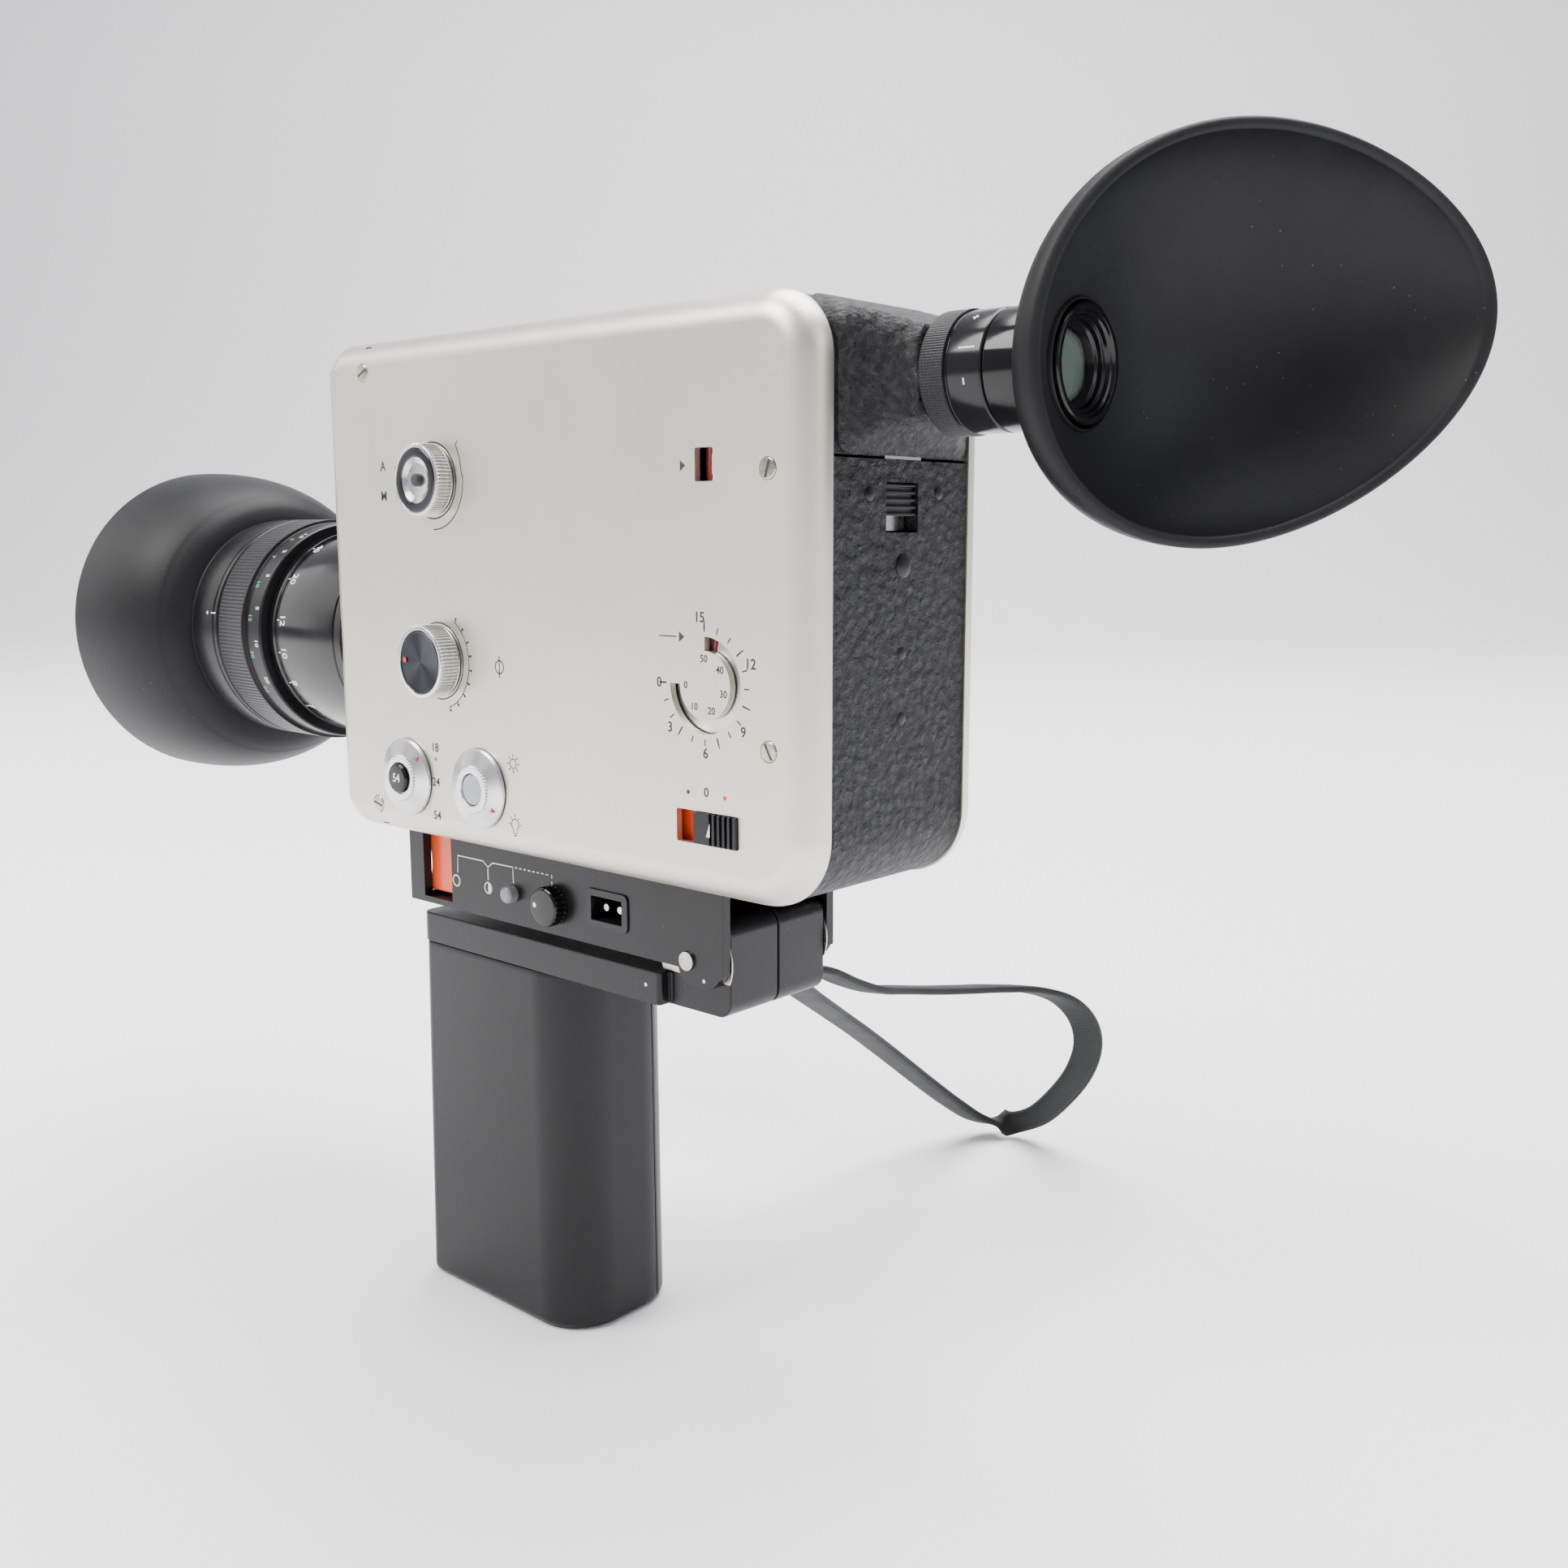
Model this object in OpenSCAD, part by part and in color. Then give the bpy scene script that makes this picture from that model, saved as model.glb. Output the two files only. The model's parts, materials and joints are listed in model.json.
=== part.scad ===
// Cine camera for cartridge film, on a folding battery grip, with a zoom lens
// in front and a finder with a large eyecup behind.
// Millimetres. Origin at the centre of the grip's base, lens towards -X,
// control side towards -Y, +Z up.

/* [Body] */
// Length of the body, front to rear
body_len = 145; // [132:1:176]
// Height of the body
body_h = 110; // [104:1:134]
// Width of the body over both side covers
body_w = 53; // [50:1:64]
// Distance from the grip's centre to the body's front face
body_front = 42; // [38:1:50]
// Depth of each side cover's rim
cover_depth = 6.2; // [5.6:0.1:8]
// Wall of the side covers
cover_wall = 1.4; // [1:0.1:1.8]
// Radius of the rolled edge of the side covers
roll_r = 5; // [4:0.1:5.5]
// Corner radius at the front of the body
front_r = 6.5; // [6:0.1:9]
// Corner radius at the rear top of the body
rear_top_r = 12; // [8:0.5:14]
// Corner radius at the rear bottom of the body
rear_bottom_r = 14; // [9:0.5:16]
// Wall of the centre frame
frame_wall = 2.2; // [1.8:0.1:2.8]

/* [Lens] */
// Height of the lens axis above the body's underside
lens_up = 43; // [40:0.5:48]
// Outer radius of the fixed lens barrel
barrel_r = 22.5; // [20:0.1:23.5]
// Wall of the fixed lens barrel
barrel_wall = 2; // [1.5:0.1:2.5]
// Length of the zoom ring
zoom_len = 28.4; // [22:0.1:34]
// Wall of the zoom ring
zoom_wall = 2.9; // [2:0.1:4]
// Length of the focus ring
focus_len = 18.6; // [14:0.1:24]
// Length of the name ring on the front cell
front_len = 11.6; // [10:0.1:16]
// Largest radius of the rubber hood
hood_r = 41.5; // [38:0.5:46]
// Length of the rubber hood
hood_len = 39.2; // [30:0.1:46]
// Wall of the rubber hood
hood_wall = 1.8; // [1.4:0.1:2.4]

/* [Finder] */
// Depth of the finder axis below the body's top
finder_down = 14.5; // [14:0.5:20]
// Radius of the finder's barrel
finder_r = 10.4; // [9:0.1:12]
// Length of the flared housing behind the body
flare_len = 10; // [8:0.5:14]
// Length of the diopter ring
diopter_len = 12.6; // [9:0.1:16]
// Length of the sleeve that carries the eyecup
sleeve_len = 12.2; // [10:0.1:16]
// Length of the eyecup's opening, nose to temple
cup_len = 81.6; // [70:0.2:90]
// Height of the eyecup's opening
cup_h = 66.4; // [58:0.2:72]
// Wall of the eyecup
cup_wall = 1.9; // [1.5:0.1:2.6]

/* [Controls] */
// Radius of the aperture knob
aperture_r = 7.7; // [6:0.1:9]
// Height of the aperture knob
aperture_h = 4.6; // [3.5:0.1:6]
// Radius of the shutter knob
shutter_knob_r = 8; // [6.5:0.1:9]
// Height of the shutter knob
shutter_knob_h = 5.4; // [4:0.1:7]
// Radius of the speed and filter dials
dial_r = 8.7; // [7:0.1:9.4]
// Outer radius of the film counter's slot
counter_r = 9; // [7.5:0.1:10]
// Length of the main switch's slot
switch_len = 15.9; // [13:0.1:19]
// Height of the main switch's slot
switch_h = 6.3; // [5:0.1:8]

/* [Bracket] */
// Width of the bracket under the body
bracket_w = 34; // [30:1:40]
// Height of the bracket
bracket_h = 18; // [16:0.5:22]
// Wall of the bracket
bracket_wall = 2.2; // [1.8:0.1:2.6]
// Radius of the hinge pin
pin_r = 1.9; // [1.5:0.1:2.4]
// Travel of the trigger
trigger_travel = 4; // [2:0.5:5]
// Gap between the bracket and the top of the grip
fold_gap = 2.5; // [1.5:0.1:4]

/* [Grip] */
// Length of the grip, front to rear
grip_len = 55; // [52:1:66]
// Width of the grip
grip_w = 34.5; // [33:0.5:42]
// Height of the grip below its top plate
grip_h = 84.5; // [76:0.5:102]
// Wall of the grip
grip_wall = 2.2; // [1.8:0.1:2.5]
// Thickness of the grip's top plate
plate_t = 7; // [6:0.1:9]

/* [Film drive] */
// Radius of the motor
motor_r = 8.5; // [7:0.1:9]
// Gear module
gear_m = 0.6; // [0.5:0.05:0.65]
// Teeth on the motor pinion
pinion_teeth = 10; // [8:2:12]
// Teeth on the shutter gear, an even number that is not a multiple of four
shutter_teeth = 26; // [22:4:30]
// Radius of the shutter disc
shutter_r = 21; // [18:0.5:22]

/* [Hidden] */
$fn = 64;

// Clearances
run_clear = 0.06;     // radial, between a shaft or ring and its bore
slide_clear = 0.25;   // round a part that slides or turns in the open
seam = 0.5;           // visible joint between two shells

// Body box
body_x0 = -body_front;
body_x1 = body_x0 + body_len;
body_z0 = grip_h + plate_t + fold_gap + bracket_h;
body_z1 = body_z0 + body_h;
plate_y = -body_w / 2;
rim_y = body_w / 2 - cover_depth;
frame_inset = 0.4;
corner_r = [front_r, rear_bottom_r, rear_top_r, front_r];

// Control places on the left cover, [x, z]
aperture_at = [body_x0 + 39.7, body_z1 - 30.9];
shutter_knob_at = [body_x0 + 39.8, body_z0 + 40.7];
speed_at = [body_x0 + 26.7, body_z0 + 13.9];
filter_at = [body_x0 + 52.5, body_z0 + 14];
window_at = [body_x1 - 25, body_z1 - 29.7];
window_size = [4.5, 6];
counter_at = [body_x1 - 25.2, body_z0 + 40.5];
counter_slot = 2.6;
switch_at = [body_x1 - 24.9, body_z0 + 13.8];
screw_at = [[body_x0 + 15.4, body_z1 - 7.1], [body_x1 - 9.6, body_z1 - 30.8],
  [body_x1 - 9.5, body_z0 + 29.7], [body_x0 + 14.7, body_z0 + 6.4]];
screw_r = 1;
screw_head_r = 1.9;
shaft_r = 2;
shaft_reach = 4;
collar_r = shaft_r + 1.4;
dial_h = 2;
dial_hub = 3.4;
dial_floor = 0.5;
cover_inner_y = body_w / 2 - cover_wall;

// Film chamber and gate
gate_x = body_x0 + 66;
gate_t = 3;
chamber_y = 12.9;
chamber_wall = 1.4;
seam_z = body_z1 - 28.6;
chamber_top = seam_z - 4;
door_axis = [body_x1 - 15.5, body_z0 + 2.3];
knuckle_r = 1.7;
knuckle_y = 12;
door_pin_r = 0.8;
latch_seat = 5;
latch_w = 9.6;
latch_z = seam_z - 4.2;
latch_h = 9;

// Lens stations along X
lens_z = body_z0 + lens_up;
flange_t = 2.4;
ring_gap = 0.4;
zoom_x1 = body_x0 - flange_t - ring_gap;
zoom_x0 = zoom_x1 - zoom_len;
focus_x1 = zoom_x0 - ring_gap;
focus_x0 = focus_x1 - focus_len;
cell_x1 = focus_x0 - ring_gap;
cell_x0 = cell_x1 - front_len;
barrel_x0 = cell_x1 - 8;
barrel_in = barrel_r - barrel_wall;
zoom_r = barrel_r + run_clear + zoom_wall;
focus_r = zoom_r + 3;
cell_nose_r = zoom_r + 1;
cell_nose = 7.8;
spigot_r = 19.5;
cell_sleeve = 6;
hood_x1 = cell_x0;
hood_x0 = hood_x1 - hood_len;
rear_tube_r = 18;
rear_tube_in = 16.2;
rear_tube_x1 = body_x0 + 36;
focus_travel = 2.4;
zoom_travel = 18;

// Finder
finder_z = body_z1 - finder_down;
tube_r = 7.5;
tube_wall = 0.9;
flare_x1 = body_x1 + flare_len;
diopter_x1 = flare_x1 + ring_gap + diopter_len;
sleeve_x0 = diopter_x1 + 0.3;
sleeve_x1 = sleeve_x0 + sleeve_len;
cone_len = 5;

// Eyecup: an egg outline in a plane that leans back towards the temple
cup_across = [0.611, 0.792];
cup_root_r = finder_r + 0.1;
cup_nose_x = sleeve_x1;
cup_egg = 0.16;
cup_root_len = 5;

// Bracket and hinge
bracket_z0 = body_z0 - bracket_h;
bracket_x0 = -grip_len / 2 - 2;
ear_x1 = grip_len / 2 + 45.4;
ear_x0 = ear_x1 - 12.6;
ear_z0 = bracket_z0 - 3.6;
ear_r = 6;
pin_at = [ear_x1 - 9.7, bracket_z0 + 1.7];
ear_y = bracket_w / 2;
block_y = ear_y - bracket_wall - 0.5;
block_x0 = ear_x0 - 4.3;
block_x1 = ear_x1 - 0.4;
block_z0 = grip_h;
block_z1 = pin_at[1] + 9;
bush_r = 3.175;
bush_x = 2;
bush_len = 7;
socket_at = [grip_len / 2 + 12.2, body_z0 - 9.8];
socket_size = [9.4, 5.2];
knob_at = [22.5, body_z0 - 11.4];
lock_at = [8.6, body_z0 - 11.1];
trigger_x0 = bracket_x0 + 3.5;
trigger_x1 = trigger_x0 + 16;
trigger_window = [bracket_x0 + 5.4, bracket_x0 + 16];

// Grip
grip_x0 = -grip_len / 2;
grip_x1 = grip_len / 2;
grip_seam_y = 8.5;
grip_rear_r = 12;
grip_front_r = 3;
cell_r = 7.1;
cell_h = 50.5;
cell_pitch = 14.5;

// Film drive
motor_z = body_z0 + 15.4;
gear_gap = gear_m * (pinion_teeth + shutter_teeth) / 2;
shutter_z = motor_z + gear_gap;
gear_x0 = body_x0 + 39;
gear_x1 = gear_x0 + 3;
shutter_x = gate_x - 5;
motor_x0 = body_x0 + 7;
motor_x1 = gear_x0 - 3;
drive_shaft_r = 1.5;
motor_shaft_r = 1;
spindle_r = 2;
spindle_at = [body_x1 - 45, body_z0 + 38];
claw_stroke = 4.2;
vane_x = body_x0 + 8;
vane_up = 11;

// Wrist strap: centreline points chosen by hand, a loop from the right
// hinge block out to the surface that the camera stands on and back
strap_w = 8;
strap_t = 2;
strap_route = [[67, 14.3, 88.4], [67, 21, 86], [66, 30, 81.5], [65, 41, 77], [63, 54, 73.5],
  [62, 68, 70], [62, 82, 67], [63, 95, 64.5], [66, 107, 62], [69, 118, 57.5],
  [70, 127, 50], [68, 134, 40.5], [62, 140, 29.5], [53, 145, 18.5], [43, 148.5, 9],
  [33, 148, 4.6], [27, 141.5, 6.5], [25, 131, 13.8], [25, 117, 24], [27, 102, 34.5],
  [30, 87, 44.5], [35, 72, 53.5], [40, 58, 61.5], [46, 45, 68.5], [52, 32, 75.5],
  [58, 21, 81.5], [61, 14.3, 85.6]];

// ---- shape helpers ----

// Extrudes a shape drawn in X and Z from y0 to y1
module along_y(y0, y1)
  translate([0, y1, 0]) rotate([90, 0, 0]) linear_extrude(y1 - y0) children();

// Extrudes a shape drawn in Y and Z from x0 to x1
module along_x(x0, x1)
  translate([x0, 0, 0]) rotate([90, 0, 90]) linear_extrude(x1 - x0) children();

// Turns a profile of [radius, x] points about the X axis
module lathe_x() rotate([0, 90, 0]) rotate_extrude() children();

// Turns a profile of [radius, height] points about an axis that points to -Y
module lathe_y(at, y) translate([at[0], y, at[1]]) rotate([90, 0, 0]) rotate_extrude() children();

// A tube about the X axis
module tube_x(x0, x1, outer, inner = 0)
  lathe_x() translate([inner, x0]) square([outer - inner, x1 - x0]);

// A rod along Y
module rod_y(at, y0, y1, r)
  translate([at[0], y1, at[1]]) rotate([90, 0, 0]) cylinder(h = y1 - y0, r = r);

// A box from its two corners
module box(low, high) translate(low) cube(high - low);

// A rectangle with its own radius at each corner, counted from low x, low y
module round_rect(x0, y0, x1, y1, r) {
  polygon([[x0 + r[0], y0], [x1 - r[1], y0], [x1, y0 + r[1]], [x1, y1 - r[2]],
    [x1 - r[2], y1], [x0 + r[3], y1], [x0, y1 - r[3]], [x0, y0 + r[0]]]);
  translate([x0 + r[0], y0 + r[0]]) circle(r[0]);
  translate([x1 - r[1], y0 + r[1]]) circle(r[1]);
  translate([x1 - r[2], y1 - r[2]]) circle(r[2]);
  translate([x0 + r[3], y1 - r[3]]) circle(r[3]);
}

// The body's side outline, moved in by an inset
module body_outline(inset)
  round_rect(body_x0 + inset, body_z0 + inset, body_x1 - inset, body_z1 - inset,
    [for (r = corner_r) r - inset]);

module quarter_disc(r) intersection() { circle(r); square(r + 1); }

// A plate with the body's outline and a rolled edge, rising to depth along Z
module rolled_plate(inset, depth, r) {
  x = [body_x0 + inset, body_x1 - inset];
  z = [body_z0 + inset, body_z1 - inset];
  c = [for (k = corner_r) k - inset];
  spots = [[x[0] + c[0], z[0] + c[0]], [x[1] - c[1], z[0] + c[1]],
    [x[1] - c[2], z[1] - c[2]], [x[0] + c[3], z[1] - c[3]]];
  linear_extrude(depth - r) body_outline(inset);
  linear_extrude(depth) body_outline(inset + r);
  // each corner is a quarter ring, and each side runs from it to the next
  for (i = [0:3]) {
    next = (i + 1) % 4;
    side = (i % 2 == 0) ? abs(spots[next][0] - spots[i][0]) : abs(spots[next][1] - spots[i][1]);
    translate([spots[i][0], spots[i][1], depth - r]) rotate(180 + 90 * i) {
      rotate_extrude(angle = 90) translate([c[i] - r, 0]) quarter_disc(r);
      rotate(90) translate([c[i] - r, side, 0])
        rotate([90, 0, 0]) linear_extrude(side) quarter_disc(r);
    }
  }
}

// A dished side cover, on the left side of the body
module cover_pan() translate([0, -rim_y, 0]) rotate([90, 0, 0]) difference() {
  rolled_plate(0, cover_depth, roll_r);
  translate([0, 0, -0.01]) rolled_plate(cover_wall, cover_depth - cover_wall + 0.01, roll_r - cover_wall);
}

// Holes for the four screws, with a seat for each head
module screw_holes() for (at = screw_at) {
  rod_y(at, plate_y - 1, plate_y + 4, screw_r + 0.15);
  rod_y(at, plate_y - 1, plate_y + 0.7, screw_head_r + 0.15);
}

// Spur gear outline with straight-sided teeth and a little backlash
function gear_points(teeth, m, first) = [for (k = [0:teeth - 1])
  for (p = [[-0.25, -1.2], [-0.19, 0], [-0.09, 0.85], [0.09, 0.85], [0.19, 0], [0.25, -1.2]])
    let (a = first + 360 * (k + p[0]) / teeth, r = m * (teeth / 2 + p[1]))
      [r * cos(a), r * sin(a)]];

// ---- body ----

module left_cover() color("#d8d4c8") difference() {
  cover_pan();
  screw_holes();
  for (at = [aperture_at, shutter_knob_at, speed_at, filter_at])
    rod_y(at, plate_y - 1, plate_y + 3, shaft_r + run_clear);
  along_y(plate_y - 1, plate_y + 3) translate(window_at - window_size / 2) square(window_size);
  along_y(plate_y - 1, plate_y + 3)
    translate(switch_at - [switch_len, switch_h] / 2) square([switch_len, switch_h]);
  // counter slot, three quarters of a ring
  translate([counter_at[0], plate_y + 3, counter_at[1]]) rotate([90, 0, 0]) rotate(180)
    rotate_extrude(angle = 270) translate([counter_r - counter_slot, 0]) square([counter_slot, 4]);
}

module right_cover() color("#d8d4c8") mirror([0, 1, 0]) difference() {
  cover_pan();
  screw_holes();
}

module screw() {
  difference() {
    union() {
      rotate([90, 0, 0]) cylinder(h = 0.7, r = screw_head_r);
      rotate([-90, 0, 0]) cylinder(h = 4.4, r = screw_r);
    }
    translate([-screw_head_r - 1, -1.2, -0.25]) cube([2 * screw_head_r + 2, 0.9, 0.5]);
  }
}

module cover_screws() color("#a8a49a") for (side = [0, 1], at = screw_at)
  mirror([0, side, 0]) translate([at[0], plate_y + 0.7, at[1]]) rotate([0, 35, 0]) screw();

// Ring of the centre frame between the two covers
module frame_ring() along_y(-rim_y, rim_y) difference() {
  body_outline(frame_inset);
  body_outline(frame_inset + frame_wall);
}

// Part of the side view that belongs to the film door
module door_region(gap) {
  x0 = door_axis[0] + gap;
  translate([x0, body_z0 - 1]) square([body_x1 + 1 - x0, seam_z - gap - body_z0 + 1]);
}

// Screw boss from the covers down to the frame, with a rib to the frame's ring
module boss(at, y0, y1, rib) difference() {
  union() {
    rod_y(at, y0, y1, 2.6);
    if (rib != 0) along_y(y0, y1) translate([at[0] - 1, min(at[1], at[1] + rib)]) square([2, abs(rib)]);
  }
  rod_y(at, y0 - 1, y1 + 1, screw_r);
}

// Side of the film chamber, clear of the door's shell
module chamber_side() intersection() {
  translate([gate_x + 1, body_z0 + 1]) square([body_x1 - latch_seat - gate_x - 1, chamber_top - body_z0]);
  union() {
    body_outline(frame_inset + frame_wall + 0.5);
    translate([gate_x, body_z0]) square([door_axis[0] - 4 - gate_x, body_h / 2]);
  }
}

module centre_frame() color("#26272b") {
  boss_y = cover_inner_y - 0.4;
  ring_in = frame_inset + frame_wall / 2;
  difference() {
    union() {
      difference() {
        frame_ring();
        along_y(-body_w, body_w) door_region(-seam / 2);
      }
      // wall of the film gate, and the chamber behind it
      box([gate_x, -rim_y + 1, body_z0 + ring_in], [gate_x + gate_t, rim_y - 1, body_z1 - ring_in]);
      for (side = [0, 1]) mirror([0, side, 0])
        along_y(chamber_y, chamber_y + chamber_wall) chamber_side();
      box([gate_x + 1, -chamber_y - 1, chamber_top],
        [body_x1 - latch_seat - 0.4, chamber_y + 1, chamber_top + chamber_wall]);
      // bearing bridge of the shutter shaft, and the motor's end plate
      box([gear_x1 + 2, -9, body_z0 + ring_in], [gear_x1 + 4, 9, shutter_z + 4]);
      box([motor_x1, -motor_r - 2, body_z0 + ring_in], [motor_x1 + 1.2, motor_r + 2, motor_z + motor_r + 0.8]);
    }
    translate([0, 0, motor_z]) tube_x(motor_x1 - 1, motor_x1 + 2, motor_shaft_r + 0.5);
    rod_y(spindle_at, chamber_y - 1, chamber_y + chamber_wall + 1, spindle_r + run_clear);
    // openings for the lens, the finder, the gate and the shafts
    translate([0, 0, lens_z]) tube_x(body_x0 - 1, body_x0 + 6, spigot_r + 0.1);
    translate([0, 0, finder_z]) tube_x(gate_x - 1, body_x1 + 1, tube_r + run_clear);
    translate([0, 0, shutter_z]) tube_x(gear_x1, gate_x + gate_t + 1, drive_shaft_r + run_clear);
    box([gate_x - 1, -7, lens_z - 9], [gate_x + gate_t + 1, 7, lens_z + 9]);
    // groove for the door's knuckles, and for its lower edge as it swings
    rod_y(door_axis, -rim_y - 1, rim_y + 1, knuckle_r + slide_clear);
    box([door_axis[0] - knuckle_r - 0.45, -rim_y - 1, body_z0 - 1], [door_axis[0] + 1, rim_y + 1, door_axis[1]]);
  }
  // hinge knuckles at the two sides of the door
  for (side = [0, 1]) mirror([0, side, 0]) difference() {
    union() {
      rod_y(door_axis, knuckle_y, rim_y - 0.4, knuckle_r);
      box([door_axis[0] - 3, knuckle_y, door_axis[1]], [door_axis[0], rim_y - 0.4, door_axis[1] + knuckle_r]);
    }
    rod_y(door_axis, knuckle_y - 1, rim_y + 1, door_pin_r + 0.02);
  }
  // bosses for the cover screws
  for (side = [0, 1]) mirror([0, side, 0]) {
    for (i = [1, 2]) boss(screw_at[i], -boss_y, -chamber_y - 0.7, i == 1 ? -6 : 0);
    boss(screw_at[0], -boss_y, -12, body_z1 - ring_in - screw_at[0][1]);
    boss(screw_at[3], -boss_y, -12, body_z0 + ring_in - screw_at[3][1]);
  }
}

module gate_plate() color("#b8bcc0") {
  x1 = gate_x + gate_t + 0.8;
  difference() {
    union() {
      box([gate_x, -6.8, lens_z - 8.8], [gate_x + gate_t, 6.8, lens_z + 8.8]);
      box([gate_x + gate_t, -11, lens_z - 16], [x1, 11, lens_z + 16]);
    }
    box([gate_x - 1, -2.9, lens_z - 2.1], [x1 + 1, 2.9, lens_z + 2.1]);
    // slot for the claw beside the picture
    box([gate_x - 1, 4.2, lens_z - 7.6], [x1 + 1, 5.8, lens_z + 3]);
  }
}

module film_door() color("#1f2024") difference() {
  union() {
    difference() {
      along_y(-rim_y + 0.3, rim_y - 0.3) difference() {
        body_outline(frame_inset);
        body_outline(frame_inset + frame_wall);
      }
      along_y(-body_w, body_w) difference() {
        translate([body_x0 - 5, body_z0 - 5]) square([body_len + 10, body_h + 10]);
        door_region(seam / 2);
      }
      // room for the frame's own knuckles
      for (side = [0, 1]) mirror([0, side, 0])
        rod_y(door_axis, knuckle_y - slide_clear, body_w, knuckle_r + slide_clear);
    }
    // middle knuckle and its web
    rod_y(door_axis, slide_clear - knuckle_y, knuckle_y - slide_clear, knuckle_r);
    box([door_axis[0], slide_clear - knuckle_y, body_z0 + frame_inset],
      [door_axis[0] + 3, knuckle_y - slide_clear, body_z0 + frame_inset + frame_wall]);
    // two ribs that hold the cartridge against the gate
    for (side = [-1, 1]) translate([0, side * 8, 0])
      box([body_x1 - 4.5, -0.8, body_z0 + 24], [body_x1 - frame_inset - frame_wall / 2, 0.8, chamber_top - 22]);
    // thickened seat round the latch
    box([body_x1 - latch_seat, -latch_w / 2 - 1.2, latch_z - latch_h - 1.2],
      [body_x1 - frame_inset - frame_wall / 2, latch_w / 2 + 1.2, seam_z - seam / 2]);
  }
  rod_y(door_axis, -knuckle_y, knuckle_y, door_pin_r + run_clear);
  // pocket for the latch, open to the rear, and its way out at the top
  box([body_x1 - 3.6, -latch_w / 2, latch_z - latch_h], [body_x1 + 1, latch_w / 2, latch_z]);
  box([body_x1 - 3.6, -3.2, latch_z - 1], [body_x1 - 2.2, 3.2, seam_z + 1]);
}

module door_hinge_pin() color("#c0c0c0") rod_y(door_axis, -rim_y + 0.5, rim_y - 0.5, door_pin_r);

module door_latch() color("#141416") {
  low = latch_z - 6;
  difference() {
    box([body_x1 - 3.4, -latch_w / 2 + slide_clear, low],
      [body_x1 - 0.7, latch_w / 2 - slide_clear, latch_z - slide_clear]);
    // grip ribs
    for (k = [0:3])
      box([body_x1 - 1.3, -latch_w, low + 0.6 + 1.3 * k], [body_x1, latch_w, low + 1.3 + 1.3 * k]);
  }
  box([body_x1 - 3.4, -3, latch_z - 1], [body_x1 - 2.4, 3, seam_z + 0.2]);
}

// ---- finder ----

module viewfinder_housing() color("#1f2024") difference() {
  // the top runs straight from the body's top to the top of the finder's barrel
  hull() {
    for (back = [[rear_top_r * 2 / 3, 0.6], [0, 1.7]])
      along_x(body_x1 - back[0] - 0.02, body_x1 - back[0])
        round_rect(-rim_y + 1, seam_z + 2.5, rim_y - 1, body_z1 - back[1], [3, 3, 6, 6], $fn = 32);
    translate([0, 0, finder_z]) tube_x(flare_x1 - 2, flare_x1, finder_r + 1, $fn = 48);
  }
  along_y(-body_w / 2, body_w / 2) body_outline(frame_inset);
  translate([0, 0, finder_z]) tube_x(body_x1 - 2, flare_x1 + 1, tube_r + run_clear);
}

module finder_tube() color("#303236") translate([0, 0, finder_z])
  tube_x(body_x0 + 30, sleeve_x1 - 1, tube_r, tube_r - tube_wall);

module finder_mirror() color("#c8d0d8") translate([body_x0 + 20, 0, finder_z]) {
  top = body_z1 - frame_inset - frame_wall - finder_z;
  along_y(-6, 6) polygon([[-7, -7], [7, 7], [7, top], [-7, top]]);
}

module diopter_ring() color("#101012") translate([0, 0, finder_z]) {
  grip = 5.4;
  x0 = flare_x1 + ring_gap;
  lathe_x() polygon([[tube_r + run_clear, x0], [finder_r + 0.3, x0], [finder_r + 0.3, x0 + grip],
    [finder_r, x0 + grip], [finder_r, diopter_x1], [tube_r + run_clear, diopter_x1]]);
}

module eyepiece_sleeve() color("#18181a") translate([0, 0, finder_z]) {
  lip = 2;
  lathe_x() polygon([[tube_r + 0.01, sleeve_x0], [finder_r, sleeve_x0],
    [finder_r, sleeve_x1 - cone_len], [finder_r - 0.6, sleeve_x1 - cone_len + 0.6],
    [finder_r - 0.6, sleeve_x1 + lip], [tube_r - 2, sleeve_x1 + lip],
    [tube_r - 2, sleeve_x1 - 0.9], [tube_r + 0.01, sleeve_x1 - 0.9]]);
}

module eyepiece_lens() color("#9fb0b0") translate([0, 0, finder_z]) {
  r = tube_r - tube_wall - 0.05;
  bulge = 0.9;
  curve_r = (r * r + bulge * bulge) / (2 * bulge);
  x1 = sleeve_x1 - 1.2;
  intersection() {
    tube_x(x1 - 3, x1, r);
    translate([x1 - curve_r, 0, 0]) sphere(curve_r, $fn = 96);
  }
}

// One point of the eyecup: t runs from the root to the rim, a goes round
function cup_point(t, a, wall) = let (
    s = t * t * (3 - 2 * t),
    swell = sin(90 * pow(t, 0.75)),
    across = cup_len / 2 * (1 + cos(a)) - 1.6,
    up = (cup_h / 2 - wall) * sin(a) * (1 - cup_egg * cos(a)) + 0.043 * cup_len * cos(a) + 4.5,
    rim = [cup_nose_x + across * cup_across[0] * (1 - wall / cup_len),
      -14 + across * cup_across[1] * (1 - 2 * wall / cup_len) + wall, finder_z + up],
    root = [cup_nose_x - cup_root_len + wall * t, (cup_root_r + 1.6 - wall) * cos(a),
      finder_z + (cup_root_r + 1.6 - wall) * sin(a)])
  [root[0] + (rim[0] - root[0]) * (0.35 * s + 0.65 * t), root[1] + (rim[1] - root[1]) * swell,
    root[2] + (rim[2] - root[2]) * swell];

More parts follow.
